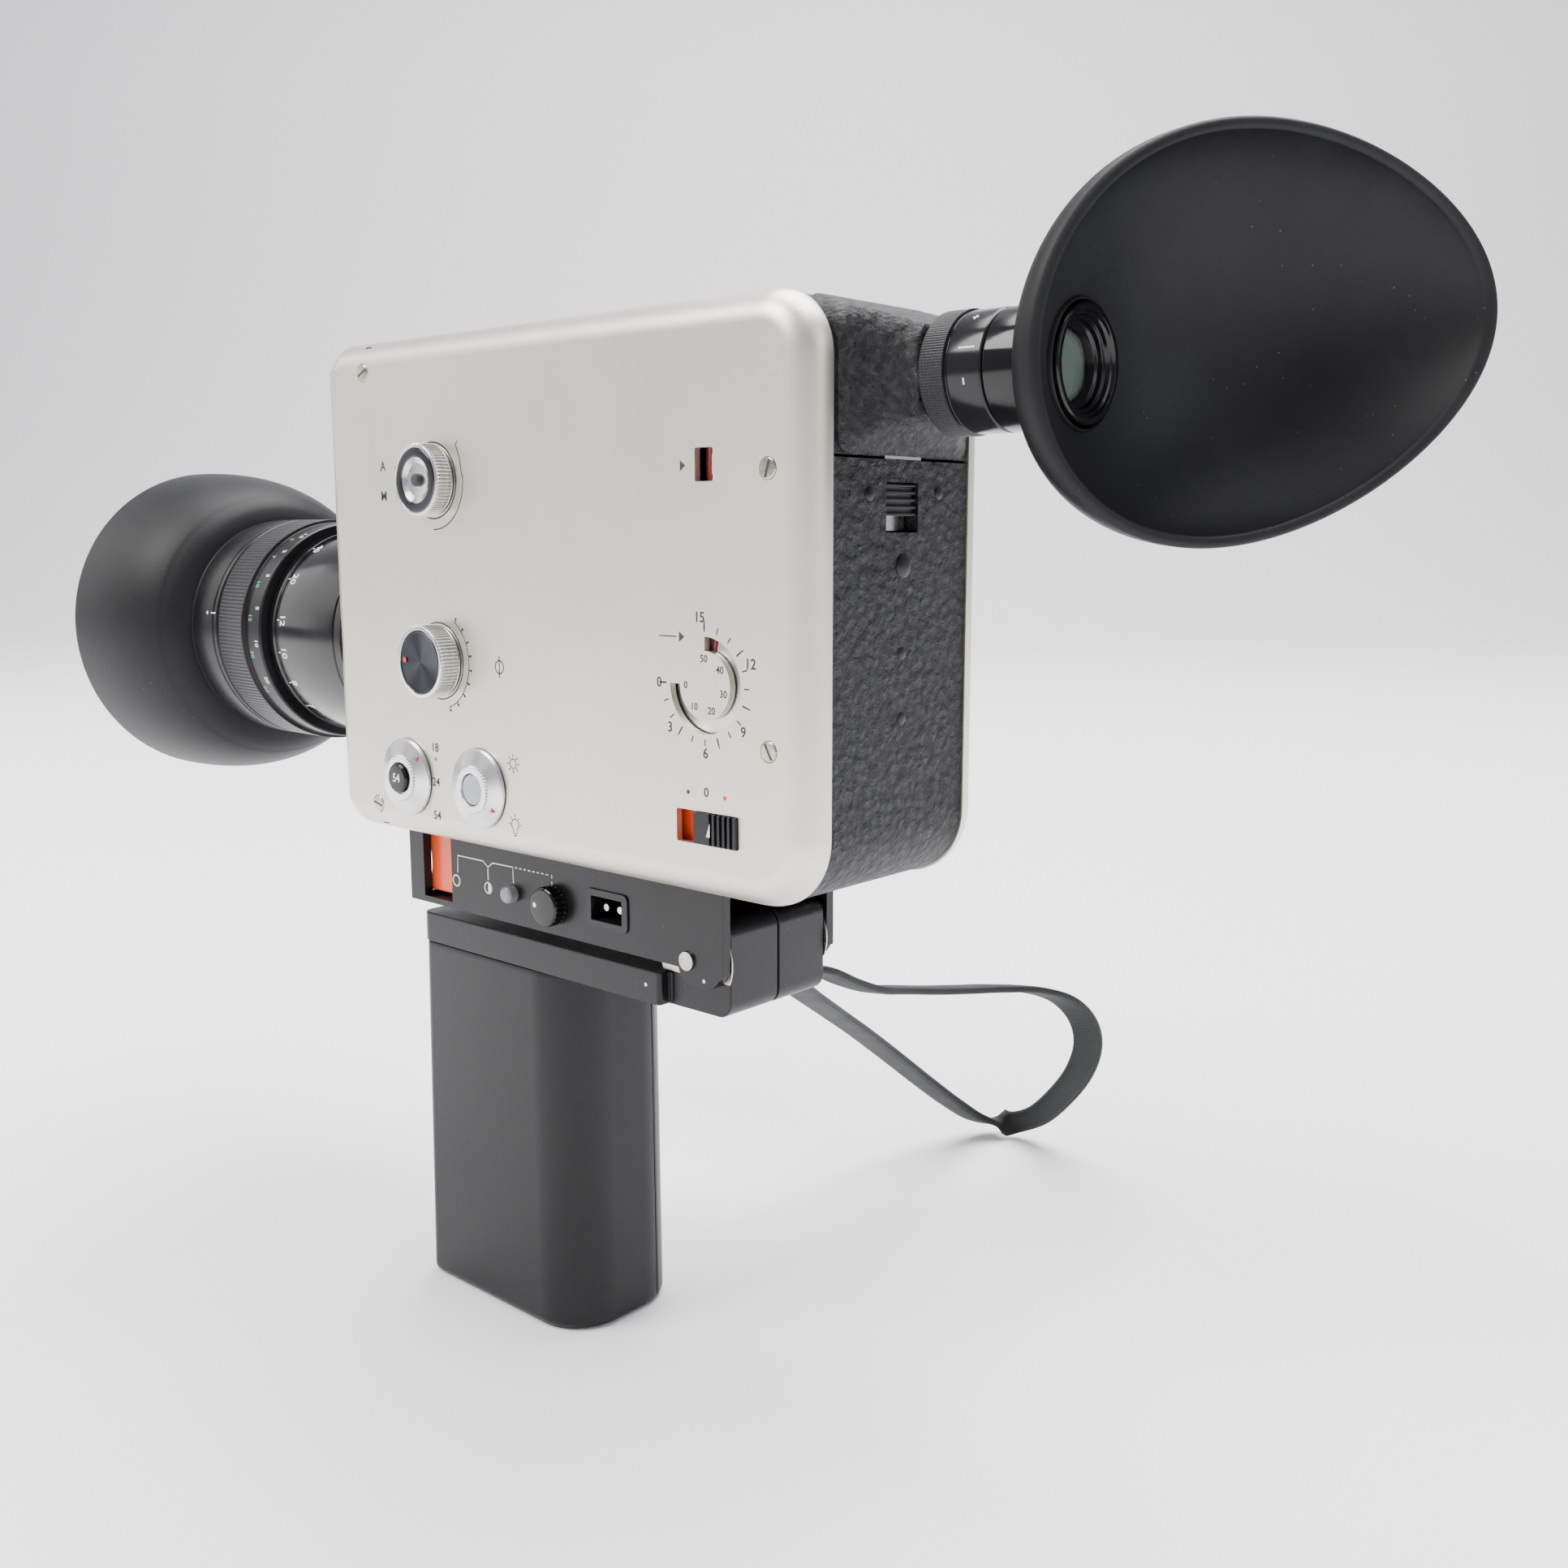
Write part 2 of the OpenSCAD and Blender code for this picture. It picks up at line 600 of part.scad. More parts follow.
module eyecup() color("#1b1b1c") {
  around = 48;
  along = 9;
  outer = [for (i = [0:along], j = [0:around - 1]) cup_point(i / along, 360 * j / around, 0)];
  inner = [for (i = [0:along], j = [0:around - 1]) cup_point(i / along, 360 * j / around, cup_wall)];
  count = len(outer);
  at = function (i, j) i * around + j % around;
  walls = [for (i = [0:along - 1], j = [0:around - 1])
    each [[at(i, j), at(i + 1, j), at(i + 1, j + 1)], [at(i, j), at(i + 1, j + 1), at(i, j + 1)]]];
  ends = [for (j = [0:around - 1]) each [
    [at(along, j), count + at(along, j), count + at(along, j + 1)],
    [at(along, j), count + at(along, j + 1), at(along, j + 1)],
    [count + at(0, j), at(0, j), at(0, j + 1)], [count + at(0, j), at(0, j + 1), count + at(0, j + 1)]]];
  difference() {
    polyhedron(concat(outer, inner), concat(walls,
      [for (f = walls) [count + f[0], count + f[2], count + f[1]]], ends), convexity = 6);
    translate([0, 0, finder_z]) tube_x(cup_nose_x - 9, cup_nose_x + 3, finder_r + 0.04);
  }
}

// ---- lens ----

module lens_barrel() color("#141416") translate([0, 0, lens_z]) {
  web = vane_x - 1.2;
  difference() {
    lathe_x() polygon([[barrel_in, barrel_x0], [barrel_r, barrel_x0],
      [barrel_r, body_x0 - flange_t], [zoom_r, body_x0 - flange_t], [zoom_r, body_x0],
      [spigot_r, body_x0], [spigot_r, body_x0 + 4], [rear_tube_r, body_x0 + 4],
      [rear_tube_r, rear_tube_x1], [rear_tube_in, rear_tube_x1], [rear_tube_in, web + 0.9],
      [5, web + 0.9], [5, web], [rear_tube_in, web], [rear_tube_in, body_x0 - 1],
      [barrel_in, body_x0 - 1]]);
    // light path up to the finder, and the pivot hole of the iris vane
    translate([body_x0 + 20, 0, 12]) cylinder(h = 10, r = 5);
    translate([0, 0, vane_up]) tube_x(web - 1, web + 2, 0.8 + run_clear);
  }
}

module zoom_ring() color("#0c0c0e") translate([0, 0, lens_z])
  tube_x(zoom_x0, zoom_x1, zoom_r, barrel_r + run_clear);

module focus_ring() color("#19191b") translate([0, 0, lens_z]) {
  scale_x = focus_x1 - 6.6;
  lathe_x() polygon([[barrel_r + run_clear, focus_x0], [focus_r, focus_x0], [focus_r, scale_x],
    [focus_r - 0.9, scale_x], [focus_r - 0.9, focus_x1], [barrel_r + run_clear, focus_x1]]);
}

module front_cell() color("#141416") translate([0, 0, lens_z]) {
  sleeve_in = barrel_in - 1.6;
  back = barrel_x0 - 0.6;
  lathe_x() polygon([[sleeve_in, cell_x1 + cell_sleeve], [barrel_in - run_clear, cell_x1 + cell_sleeve],
    [barrel_in - run_clear, back], [barrel_r + 0.3, back], [barrel_r + 0.3, cell_x1],
    [focus_r, cell_x1], [focus_r, cell_x0], [cell_nose_r, cell_x0],
    [cell_nose_r, cell_x0 - cell_nose], [cell_nose_r - 1.8, cell_x0 - cell_nose],
    [cell_nose_r - 1.8, cell_x0 - 0.4], [sleeve_in, cell_x0 - 0.4]]);
}

// A round lens, flat behind and domed in front
module dome_lens(x0, x1, r, bulge) {
  curve_r = (r * r + bulge * bulge) / (2 * bulge);
  intersection() {
    tube_x(x0, x1, r);
    translate([x0 + curve_r, 0, 0]) sphere(curve_r, $fn = 128);
  }
}

module front_lens() color("#6a7f9a") translate([0, 0, lens_z])
  dome_lens(cell_x0 - 6.6, cell_x0 - 0.4, cell_nose_r - 1.85, 3.6);

module lens_hood() color("#202022") translate([0, 0, lens_z]) {
  root_r = cell_nose_r + hood_wall;
  steps = 12;
  start_x = hood_x1 - 1.4;
  bell = function (t, wall) [root_r - wall + (hood_r - root_r) * sin(90 * sqrt(t)),
    start_x - t * (hood_len - 1.4)];
  lathe_x() polygon(concat(
    [[cell_nose_r + 0.02, hood_x1 - 0.3], [root_r, hood_x1 - 0.3]],
    [for (k = [0:steps]) bell(k / steps, 0)],
    [for (k = [steps:-1:1]) bell(k / steps, hood_wall)],
    [[root_r, bell(1 / steps, 0)[1]], [root_r, hood_x1 - cell_nose + 0.3],
      [cell_nose_r + 0.02, hood_x1 - cell_nose + 0.3]]));
}

// A lens group: a metal ring with its glass
module lens_group(x0, x1, r) {
  tube_x(x0, x1, r, r - 4);
  tube_x((x0 + x1) / 2 - 1.5, (x0 + x1) / 2 + 1.5, r - 3.9);
}

module variator_cell() color("#8894a0") translate([0, 0, lens_z])
  lens_group(cell_x1 + cell_sleeve + 2, cell_x1 + cell_sleeve + 10, barrel_in - run_clear);

module compensator_cell() color("#8894a0") translate([0, 0, lens_z])
  lens_group(body_x0 - 10, body_x0 - 4, barrel_in - run_clear);

module iris_vane() color("#202020") translate([0, 0, lens_z]) {
  along_x(vane_x, vane_x + 0.5) difference() {
    union() {
      circle(5.2);
      translate([-1.5, 0]) square([3, vane_up]);
      translate([0, vane_up]) circle(2);
    }
    circle(2);
  }
  translate([0, 0, vane_up]) tube_x(vane_x - 1.1, vane_x + 0.2, 0.8);
}

module beam_prism() color("#a8c0c4") {
  half = (rear_tube_in - 0.2) / sqrt(2);
  box([body_x0 + 14, -half, lens_z - half], [body_x0 + 26, half, lens_z + half]);
}

module relay_lens() color("#8fa6b0") translate([0, 0, lens_z])
  dome_lens(rear_tube_x1 - 7, rear_tube_x1 - 2, rear_tube_in - 0.02, 1.5);

// ---- film drive ----

module drive_motor() color("#9a9ca0") translate([0, 0, motor_z]) difference() {
  union() {
    tube_x(motor_x0, motor_x1 - 1.5, motor_r);
    tube_x(motor_x1 - 1.6, motor_x1, 3);
  }
  tube_x(motor_x1 - 4, motor_x1 + 1, motor_shaft_r + run_clear);
}

module motor_pinion() color("#c9a94f") translate([0, 0, motor_z]) {
  along_x(gear_x0, gear_x1) polygon(gear_points(pinion_teeth, gear_m, 90));
  tube_x(motor_x1 - 3, gear_x1, motor_shaft_r);
}

module shutter_shaft() color("#c9a94f") translate([0, 0, shutter_z]) {
  along_x(gear_x0, gear_x1) polygon(gear_points(shutter_teeth, gear_m, 0));
  tube_x(gear_x0, gate_x + 2, drive_shaft_r);
}

module shutter_disc() color("#1c1c1e") translate([0, 0, shutter_z]) {
  spread = 75;
  difference() {
    union() {
      tube_x(shutter_x, shutter_x + 0.8, shutter_r);
      tube_x(shutter_x - 2, shutter_x + 0.8, 3.5);
    }
    tube_x(shutter_x - 3, shutter_x + 2, drive_shaft_r + 0.01);
    // the open sector lies to one side while the camera is at rest
    along_x(shutter_x - 1, shutter_x + 2) polygon([
      [-6 * cos(spread), -6 * sin(spread)], [-40 * cos(spread), -40 * sin(spread)], [-60, 0],
      [-40 * cos(spread), 40 * sin(spread)], [-6 * cos(spread), 6 * sin(spread)]]);
  }
}

module pulldown_claw() color("#b8bcc0") {
  x1 = gate_x - 0.6;
  box([x1 - 1, 4.4, lens_z - 14], [x1, 5.6, lens_z + 2.2]);
  box([x1 - 0.5, 4.4, lens_z + 1], [gate_x + gate_t + 1, 5.6, lens_z + 2.2]);
}

module takeup_spindle() color("#303236") {
  back = chamber_y + chamber_wall;
  rod_y(spindle_at, chamber_y - 3.4, back + 0.3, spindle_r);
  rod_y(spindle_at, back + 0.25, back + 3, 5.5);
  for (a = [0, 120, 240]) translate([spindle_at[0], 0, spindle_at[1]]) rotate([0, a, 0])
    box([1, chamber_y - 3.4, -0.7], [3.6, chamber_y - 0.6, 0.7]);
}

// ---- controls on the left cover ----

// Knob with a shaft through the cover, a collar behind it and a recess for a cap
module knob(at, r, h, recess_r, recess) {
  collar = cover_wall + 0.3;
  lathe_y(at, plate_y) polygon([[0, -shaft_reach], [collar_r, -shaft_reach],
    [collar_r, -collar], [shaft_r, -collar], [shaft_r, slide_clear], [r, slide_clear],
    [r, h - 0.4], [r - 0.4, h], [recess_r, h], [recess_r, h - recess], [0, h - recess]]);
}

module aperture_knob() color("#c4c6c8") knob(aperture_at, aperture_r, aperture_h, aperture_r - 1, 0.8);

module aperture_cap() color("#55575c") {
  r = aperture_r - 1.02;
  h = aperture_h;
  lathe_y(aperture_at, plate_y) polygon([[0, h - 0.8], [r, h - 0.8], [r, h], [r * 0.72, h + 0.1],
    [r * 0.25, h - 0.35], [r * 0.25, h + 0.4], [0, h + 0.4]]);
}

module shutter_knob() color("#c4c6c8")
  knob(shutter_knob_at, shutter_knob_r, shutter_knob_h, shutter_knob_r - 1.2, 1);

module shutter_knob_cap() color("#1a1c20") {
  r = shutter_knob_r - 1.22;
  h = shutter_knob_h;
  lathe_y(shutter_knob_at, plate_y)
    polygon([[0, h - 1], [r, h - 1], [r, h], [r * 0.9, h], [r * 0.5, h - 0.25], [0, h - 0.35]]);
}

// Low cone-shaped dial with a recess in the middle
module dial(at) {
  collar = cover_wall + 0.3;
  lathe_y(at, plate_y) polygon([[0, -shaft_reach], [collar_r, -shaft_reach],
    [collar_r, -collar], [shaft_r, -collar], [shaft_r, slide_clear], [dial_r, slide_clear],
    [dial_r, 0.7], [dial_hub + 1.8, dial_h], [dial_hub, dial_h], [dial_hub, dial_floor], [0, dial_floor]]);
}

module speed_dial() color("#d4d4d2") dial(speed_at);

module slow_motion_button() color("#111113")
  lathe_y(speed_at, plate_y) polygon([[0, 1.8], [dial_hub - run_clear, 1.8],
    [dial_hub - run_clear, 3], [dial_hub - 0.4, 3.3], [0, 3.3]]);

module filter_dial() color("#d4d4d2") dial(filter_at);

module filter_pad() color("#9a9c9e")
  lathe_y(filter_at, plate_y) translate([0, dial_floor]) square([dial_hub - 0.02, dial_h - dial_floor + 0.1]);

module counter_disc() color("#c8c8c6") {
  top = -cover_wall - 0.4;
  lathe_y(counter_at, plate_y) polygon([[0, top - 3], [1.5, top - 3], [1.5, top - 0.8],
    [counter_r + 0.9, top - 0.8], [counter_r + 0.9, top], [0, top]]);
}

module run_drum() color("#6a1512")
  translate([window_at[0], -cover_inner_y + 3.5, window_at[1] - window_size[1] / 2 - 1.5])
    cylinder(h = window_size[1] + 3, r = 3);

module switch_bed() color("#e8501e") {
  half = [switch_len / 2 + 2, switch_h / 2 + 1.8];
  along_y(-cover_inner_y + 1.6, -cover_inner_y + 2.4) translate(switch_at - half) square(2 * half);
}

module main_switch() color("#141416") {
  x1 = switch_at[0] + switch_len / 2 - 0.15;
  x0 = x1 - switch_len * 0.685;
  half = switch_h / 2 - 0.15;
  difference() {
    box([x0, plate_y - 0.6, switch_at[1] - half], [x1, -cover_inner_y + 1.2, switch_at[1] + half]);
    for (k = [0:4]) translate([x1 - 1.2 - 1.3 * k, 0, 0])
      box([-0.35, plate_y - 1, switch_at[1] - half - 1], [0.35, plate_y + 0.1, switch_at[1] + half + 1]);
  }
  box([x0 + 0.6, -cover_inner_y + 0.3, switch_at[1] - half - 1.4],
    [x1 - 0.6, -cover_inner_y + 1.2, switch_at[1] + half + 1.4]);
}

// ---- bracket under the body ----

module bottom_bracket() color("#1d1e22") {
  inner_y = ear_y - bracket_wall;
  slot_x0 = pin_at[0] - 11;
  difference() {
    along_y(-ear_y, ear_y) {
      translate([bracket_x0, bracket_z0]) square([ear_x1 - bracket_x0, bracket_h]);
      round_rect(ear_x0, ear_z0, ear_x1, body_z0, [5, ear_r, 0.5, 0.5]);
    }
    // room for the trigger and the switches, open to the front
    box([bracket_x0 - 1, -inner_y, bracket_z0 + bracket_wall], [slot_x0 - 1.5, inner_y, body_z0 + 1]);
    // fork for the hinge block
    box([slot_x0, -inner_y, ear_z0 - 1], [ear_x1 + 1, inner_y, body_z0 + 1]);
    // finger windows at the trigger
    box([trigger_window[0], -ear_y - 1, bracket_z0 + 1.5], [trigger_window[1], ear_y + 1, body_z0 + 1]);
    rod_y(pin_at, -ear_y - 1, ear_y + 1, pin_r + 0.02);
    rod_y(lock_at, -ear_y - 1, -inner_y + 1, 1.9 + run_clear);
    rod_y(knob_at, -ear_y - 1, -inner_y + 1, shaft_r + run_clear);
    along_y(-ear_y - 1, -inner_y + 1)
      translate(socket_at - socket_size / 2 - [1.1, 1.1]) square(socket_size + [2.2, 2.2]);
    translate([bush_x, 0, bracket_z0 - 1]) cylinder(h = bracket_wall + 2, r = bush_r + 2.3);
  }
}

module trigger() color("#e8431a") {
  half = ear_y - bracket_wall - slide_clear;
  difference() {
    box([trigger_x0, -half, bracket_z0 + bracket_wall + slide_clear], [trigger_x1, half, body_z0 - 0.6]);
    rod_y([trigger_x0 - 11.5, bracket_z0 + 9], -half - 1, half + 1, 13);
  }
}

module lock_button() color("#8a8c8e") {
  inside = -ear_y + bracket_wall;
  rod_y(lock_at, -ear_y - 2.4, inside + 1.2, 1.9);
  rod_y(lock_at, inside + 0.3, inside + 1.2, 3);
}

module remote_knob() color("#0d0d0f") {
  inside = -ear_y + bracket_wall;
  rod_y(knob_at, -ear_y - 3.2, -ear_y - 0.2, 4.5);
  rod_y(knob_at, -ear_y - 0.3, inside + 1, shaft_r);
  rod_y(knob_at, inside + 0.2, inside + 1, shaft_r + 1.2);
}

module power_socket() color("#161618") difference() {
  union() {
    along_y(-ear_y - 0.4, -ear_y) round_rect(socket_at[0] - socket_size[0] / 2 - 1.7,
      socket_at[1] - socket_size[1] / 2 - 1.5, socket_at[0] + socket_size[0] / 2 + 1.7,
      socket_at[1] + socket_size[1] / 2 + 1.5, [1.4, 1.4, 1.4, 1.4]);
    along_y(-ear_y - 0.1, -ear_y + 8)
      translate(socket_at - socket_size / 2 - [1.08, 1.08]) square(socket_size + [2.16, 2.16]);
  }
  along_y(-ear_y - 1, -ear_y + 6.8) translate(socket_at - socket_size / 2) square(socket_size);
  for (side = [-1, 1]) rod_y(socket_at + [2.1 * side, 0], -ear_y + 6, -ear_y + 9, 0.75);
}

module power_pins() color("#c8ccd0") for (side = [-1, 1])
  rod_y(socket_at + [2.1 * side, 0], -ear_y + 1.6, -ear_y + 8.4, 0.75);

module tripod_bush() color("#c0a860") translate([bush_x, 0, bracket_z0]) difference() {
  union() {
    cylinder(h = bush_len, r = bush_r + 2.28);
    translate([0, 0, bracket_wall]) cylinder(h = 1.2, r = bush_r + 4);
  }
  translate([0, 0, -1]) cylinder(h = bush_len + 2, r = bush_r);
}

module hinge_pin() color("#b8b4a4") {
  rod_y(pin_at, -ear_y - 0.6, ear_y + 0.6, pin_r);
  // a shim on each side of the hinge block
  for (side = [0, 1]) mirror([0, side, 0])
    along_y(block_y + 0.08, ear_y - bracket_wall - 0.08) difference() {
      intersection() {
        translate(pin_at) circle(ear_x1 - pin_at[0] + 0.3);
        translate([pin_at[0] - 20, grip_h + plate_t + 0.4]) square([40, 40]);
      }
      translate(pin_at) circle(pin_r + 0.02);
    }
}

module hinge_block(y0, y1) difference() {
  along_y(y0, y1) round_rect(block_x0, block_z0, block_x1, block_z1, [0.5, 3.5, 3.5, 3]);
  rod_y(pin_at, y0 - 1, y1 + 1, pin_r + run_clear);
}

module hinge_block_left() color("#24262c") hinge_block(-block_y, -0.2);
module hinge_block_right() color("#24262c") hinge_block(0.2, block_y);

// ---- grip ----

module grip_outline(inset) round_rect(grip_x0 + inset, -grip_w / 2 + inset,
  grip_x1 - inset, grip_w / 2 - inset,
  [grip_front_r - inset * 0.9, grip_rear_r - inset, grip_rear_r - inset, grip_front_r - inset * 0.9]);

module grip_plate() color("#202127") {
  z0 = grip_h;
  difference() {
    union() {
      translate([0, 0, z0]) linear_extrude(plate_t) round_rect(grip_x0 + 1.5, -ear_y, block_x0 - 1,
        ear_y, [3, 1, 1, 3]);
      box([block_x0 - 6, -block_y, z0], [block_x0, block_y, z0 + plate_t]);
    }
    // hollow under the plate, over the battery room
    box([-20, -12, z0 - 1], [20, 12, z0 + plate_t - 2.5]);
  }
}

module grip_half(y0, y1) intersection() {
  difference() {
    linear_extrude(grip_h) grip_outline(0);
    translate([0, 0, grip_wall]) linear_extrude(grip_h) grip_outline(grip_wall);
  }
  box([grip_x0 - 1, y0, -1], [grip_x1 + 1, y1, grip_h + 1]);
}

module grip_shell() color("#1c1d20") grip_half(-grip_w, grip_seam_y);
module grip_cover() color("#1c1d20") grip_half(grip_seam_y + 0.3, grip_w);

module battery_cells() color("#b89a50")
  for (x = [-1, 0, 1], y = [-0.5, 0.5]) translate([x * cell_pitch, y * cell_pitch, grip_wall + 2.8]) {
    cylinder(h = cell_h - 1.5, r = cell_r);
    cylinder(h = cell_h, r = 2.7);
  }

module battery_holder() color("#303030") {
  z = [grip_wall + 0.4, grip_wall + 2.8 + cell_h];
  half = [1.5 * cell_pitch + 1.8, cell_pitch - 1];
  for (z0 = z) box([-half[0], -half[1] / 2, z0], [half[0], half[1] / 2, z0 + 2.4]);
  for (side = [0, 1]) mirror([side, 0, 0])
    box([half[0] - 1.2, -4, z[0]], [half[0], 4, z[1] + 2.4]);
}

// ---- wrist strap ----

// A flat band swept along its route, its width across the loop's plane
module wrist_strap() color("#2c302e") {
  n = len(strap_route);
  across = [0.93, 0.37, 0];
  section = [[4, 0.4], [3.6, 1], [-3.6, 1], [-4, 0.4], [-4, -0.4], [-3.6, -1], [3.6, -1], [4, -0.4]];
  scale_w = strap_w / 8;
  scale_t = strap_t / 2;
  unit = function (v) v / norm(v);
  tangent = function (i) (i == 0 || i == n - 1) ? [0, (i == 0) ? 1 : -1, 0]
    : unit(strap_route[i + 1] - strap_route[i - 1]);
  ring = function (i) let (t = tangent(i), w = unit(across - (across * t) * t), h = cross(t, w))
    [for (p = section) strap_route[i] + scale_w * p[0] * w + scale_t * p[1] * h];
  sides = len(section);
  points = [for (i = [0:n - 1]) each ring(i)];
  faces = [for (i = [0:n - 2], j = [0:sides - 1]) let (k = (j + 1) % sides)
    each [[i * sides + j, i * sides + k, (i + 1) * sides + k],
      [i * sides + j, (i + 1) * sides + k, (i + 1) * sides + j]]];
  polyhedron(points, concat(faces, [[for (j = [sides - 1:-1:0]) j]],
    [[for (j = [0:sides - 1]) (n - 1) * sides + j]]), convexity = 8);
}

left_cover();
right_cover();
cover_screws();
centre_frame();
gate_plate();
film_door();
door_hinge_pin();
door_latch();
viewfinder_housing();
finder_tube();
finder_mirror();
diopter_ring();
eyepiece_sleeve();
eyepiece_lens();
eyecup();
lens_barrel();
zoom_ring();
focus_ring();
front_cell();
front_lens();
lens_hood();
variator_cell();
compensator_cell();
iris_vane();
beam_prism();
relay_lens();
drive_motor();
motor_pinion();
shutter_shaft();
shutter_disc();
pulldown_claw();
takeup_spindle();
aperture_knob();
aperture_cap();
shutter_knob();
shutter_knob_cap();
speed_dial();
slow_motion_button();
filter_dial();
filter_pad();
counter_disc();
run_drum();
switch_bed();
main_switch();
bottom_bracket();
trigger();
lock_button();
remote_knob();
power_socket();
power_pins();
tripod_bush();
hinge_pin();
hinge_block_left();
hinge_block_right();
grip_plate();
grip_shell();
grip_cover();
battery_cells();
battery_holder();
wrist_strap();
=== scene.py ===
"""Cine camera on a folding battery grip: the finished surfaces around its CAD frame."""

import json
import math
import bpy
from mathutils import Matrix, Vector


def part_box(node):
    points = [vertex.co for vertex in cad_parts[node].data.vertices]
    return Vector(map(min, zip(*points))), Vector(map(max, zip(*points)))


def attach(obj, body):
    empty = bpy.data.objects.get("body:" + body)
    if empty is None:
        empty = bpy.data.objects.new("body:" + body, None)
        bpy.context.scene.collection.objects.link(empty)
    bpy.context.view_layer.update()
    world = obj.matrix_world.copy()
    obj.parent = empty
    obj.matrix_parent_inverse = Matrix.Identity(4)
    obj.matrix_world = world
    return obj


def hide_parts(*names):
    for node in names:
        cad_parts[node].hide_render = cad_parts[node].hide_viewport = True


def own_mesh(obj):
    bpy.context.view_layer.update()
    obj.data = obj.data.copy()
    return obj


bl_info = {
    "name": "Cine Camera",
    "version": (1, 0, 0),
    "blender": (4, 5, 0),
    "location": "View3D > Sidebar > Cine Camera",
    "description": "Builds the visible surfaces, finishes and studio of a cine camera",
    "category": "Add Mesh",
}

import bmesh
import bpy
import numpy as np
from bpy.props import FloatProperty, FloatVectorProperty, IntProperty, PointerProperty
from mathutils import Vector

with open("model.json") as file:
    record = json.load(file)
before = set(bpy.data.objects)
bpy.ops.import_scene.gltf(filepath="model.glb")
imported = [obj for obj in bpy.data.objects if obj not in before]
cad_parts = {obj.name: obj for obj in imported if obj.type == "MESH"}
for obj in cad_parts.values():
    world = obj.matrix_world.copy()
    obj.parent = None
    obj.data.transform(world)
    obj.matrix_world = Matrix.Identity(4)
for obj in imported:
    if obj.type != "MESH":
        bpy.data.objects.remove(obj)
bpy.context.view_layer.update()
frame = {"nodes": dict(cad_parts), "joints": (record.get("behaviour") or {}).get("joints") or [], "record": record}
NODES = frame["nodes"]
BODY_OF = {n: b for b, ns in frame["record"]["behaviour"]["bodies"].items() for n in ns}
JOINT = {j["name"]: j for j in frame["joints"]}
MM = 0.001


def low(node):
    """Lowest corner of a CAD node in millimetres."""
    return np.array(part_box(node)[0]) / MM


def high(node):
    """Highest corner of a CAD node in millimetres."""
    return np.array(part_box(node)[1]) / MM


def axis_xz(joint):
    """Place of a joint's axis in the side view, in millimetres."""
    p = JOINT[joint]["pos_m"]
    return np.array([p[0], p[2]]) / MM


PLATE_Y = low("left_cover")[1]
BODY0 = low("left_cover")
BODY1 = high("left_cover")
LENS_Z = axis_xz("zoom_turn")[1]
FINDER_Z = axis_xz("diopter_turn")[1]
BRACKET_Y = low("bottom_bracket")[1]

# radii in millimetres that a ring and the marks printed on it share
ZOOM_R, FOCUS_R, SCALE_R, LENS_BORE = 25.46, 28.46, 27.56, 22.6
DIOPTER_R = 10.45
# the counter's slot (inner and outer radius) and the screw seats (radius and depth)
COUNTER_SLOT = (6.4, 9.0)
SEAT_R, SEAT_DEPTH = 2.03, 0.75
# domes on the film door: y, z, radius, rise
STUDS = ((-9.7, 187.0, 1.3, 0.35), (11.2, 187.5, 1.3, 0.35), (0.5, 174.2, 2.3, 0.5),
         (0.3, 158.1, 1.2, 0.25), (0.5, 146.0, 1.2, 0.25))
# studio, in metres: where the camera stands and looks,
# and each lamp's name, place, aim, size, power and colour
CAMERA_PLACE, CAMERA_AIM = (0.275, -0.22934, 0.1805), (-0.6506, 0.7420, -0.1615)
FOCAL_LENGTH, SENSOR_WIDTH = 35.5, 36.0
LAMPS = (
    ("key", (-0.75, -1.35, 1.7), (0.03, 0, 0.15), 1.1, 62.0, (1.0, 0.985, 0.96)),
    ("top", (-0.1, 0.7, 2.3), (-0.2, 0.7, 0.0), 2.2, 165.0, (1.0, 1.0, 1.0)),
    ("rear", (1.7, 0.2, 0.9), (0.05, 0, 0.15), 0.9, 7.0, (0.93, 0.96, 1.0)),
    ("front", (-1.6, -0.6, 0.7), (0.0, 0, 0.15), 1.0, 6.0, (1.0, 0.99, 0.97)),
)


# ---- sizes and colours that a user may change ----


def length(name, default, description):
    """A length property in millimetres."""
    return FloatProperty(name=name, description=description, default=default, min=0.0, unit="NONE")


def shade(name, default, description):
    """A colour property."""
    return FloatVectorProperty(
        name=name, description=description, default=default, size=3, min=0, max=1, subtype="COLOR"
    )


class CameraSizes(bpy.types.PropertyGroup):
    """Sizes of the visible surfaces, in millimetres."""

    roll: length("Cover roll", 6.0, "Radius of the side covers' rolled edge, in millimetres")
    front_band: length("Front band", 3.4,
                       "Width of the bevelled band at the covers' front edge, in millimetres")
    edge: length("Edge radius", 0.35, "Radius of small moulded edges, in millimetres")
    strap_width: length("Strap width", 8.0, "Width of the wrist strap, in millimetres")
    strap_thick: length("Strap thickness", 1.9, "Thickness of the wrist strap, in millimetres")
    segments: IntProperty(
        name="Segments", description="Steps round a turned piece", default=160, min=48, max=512
    )


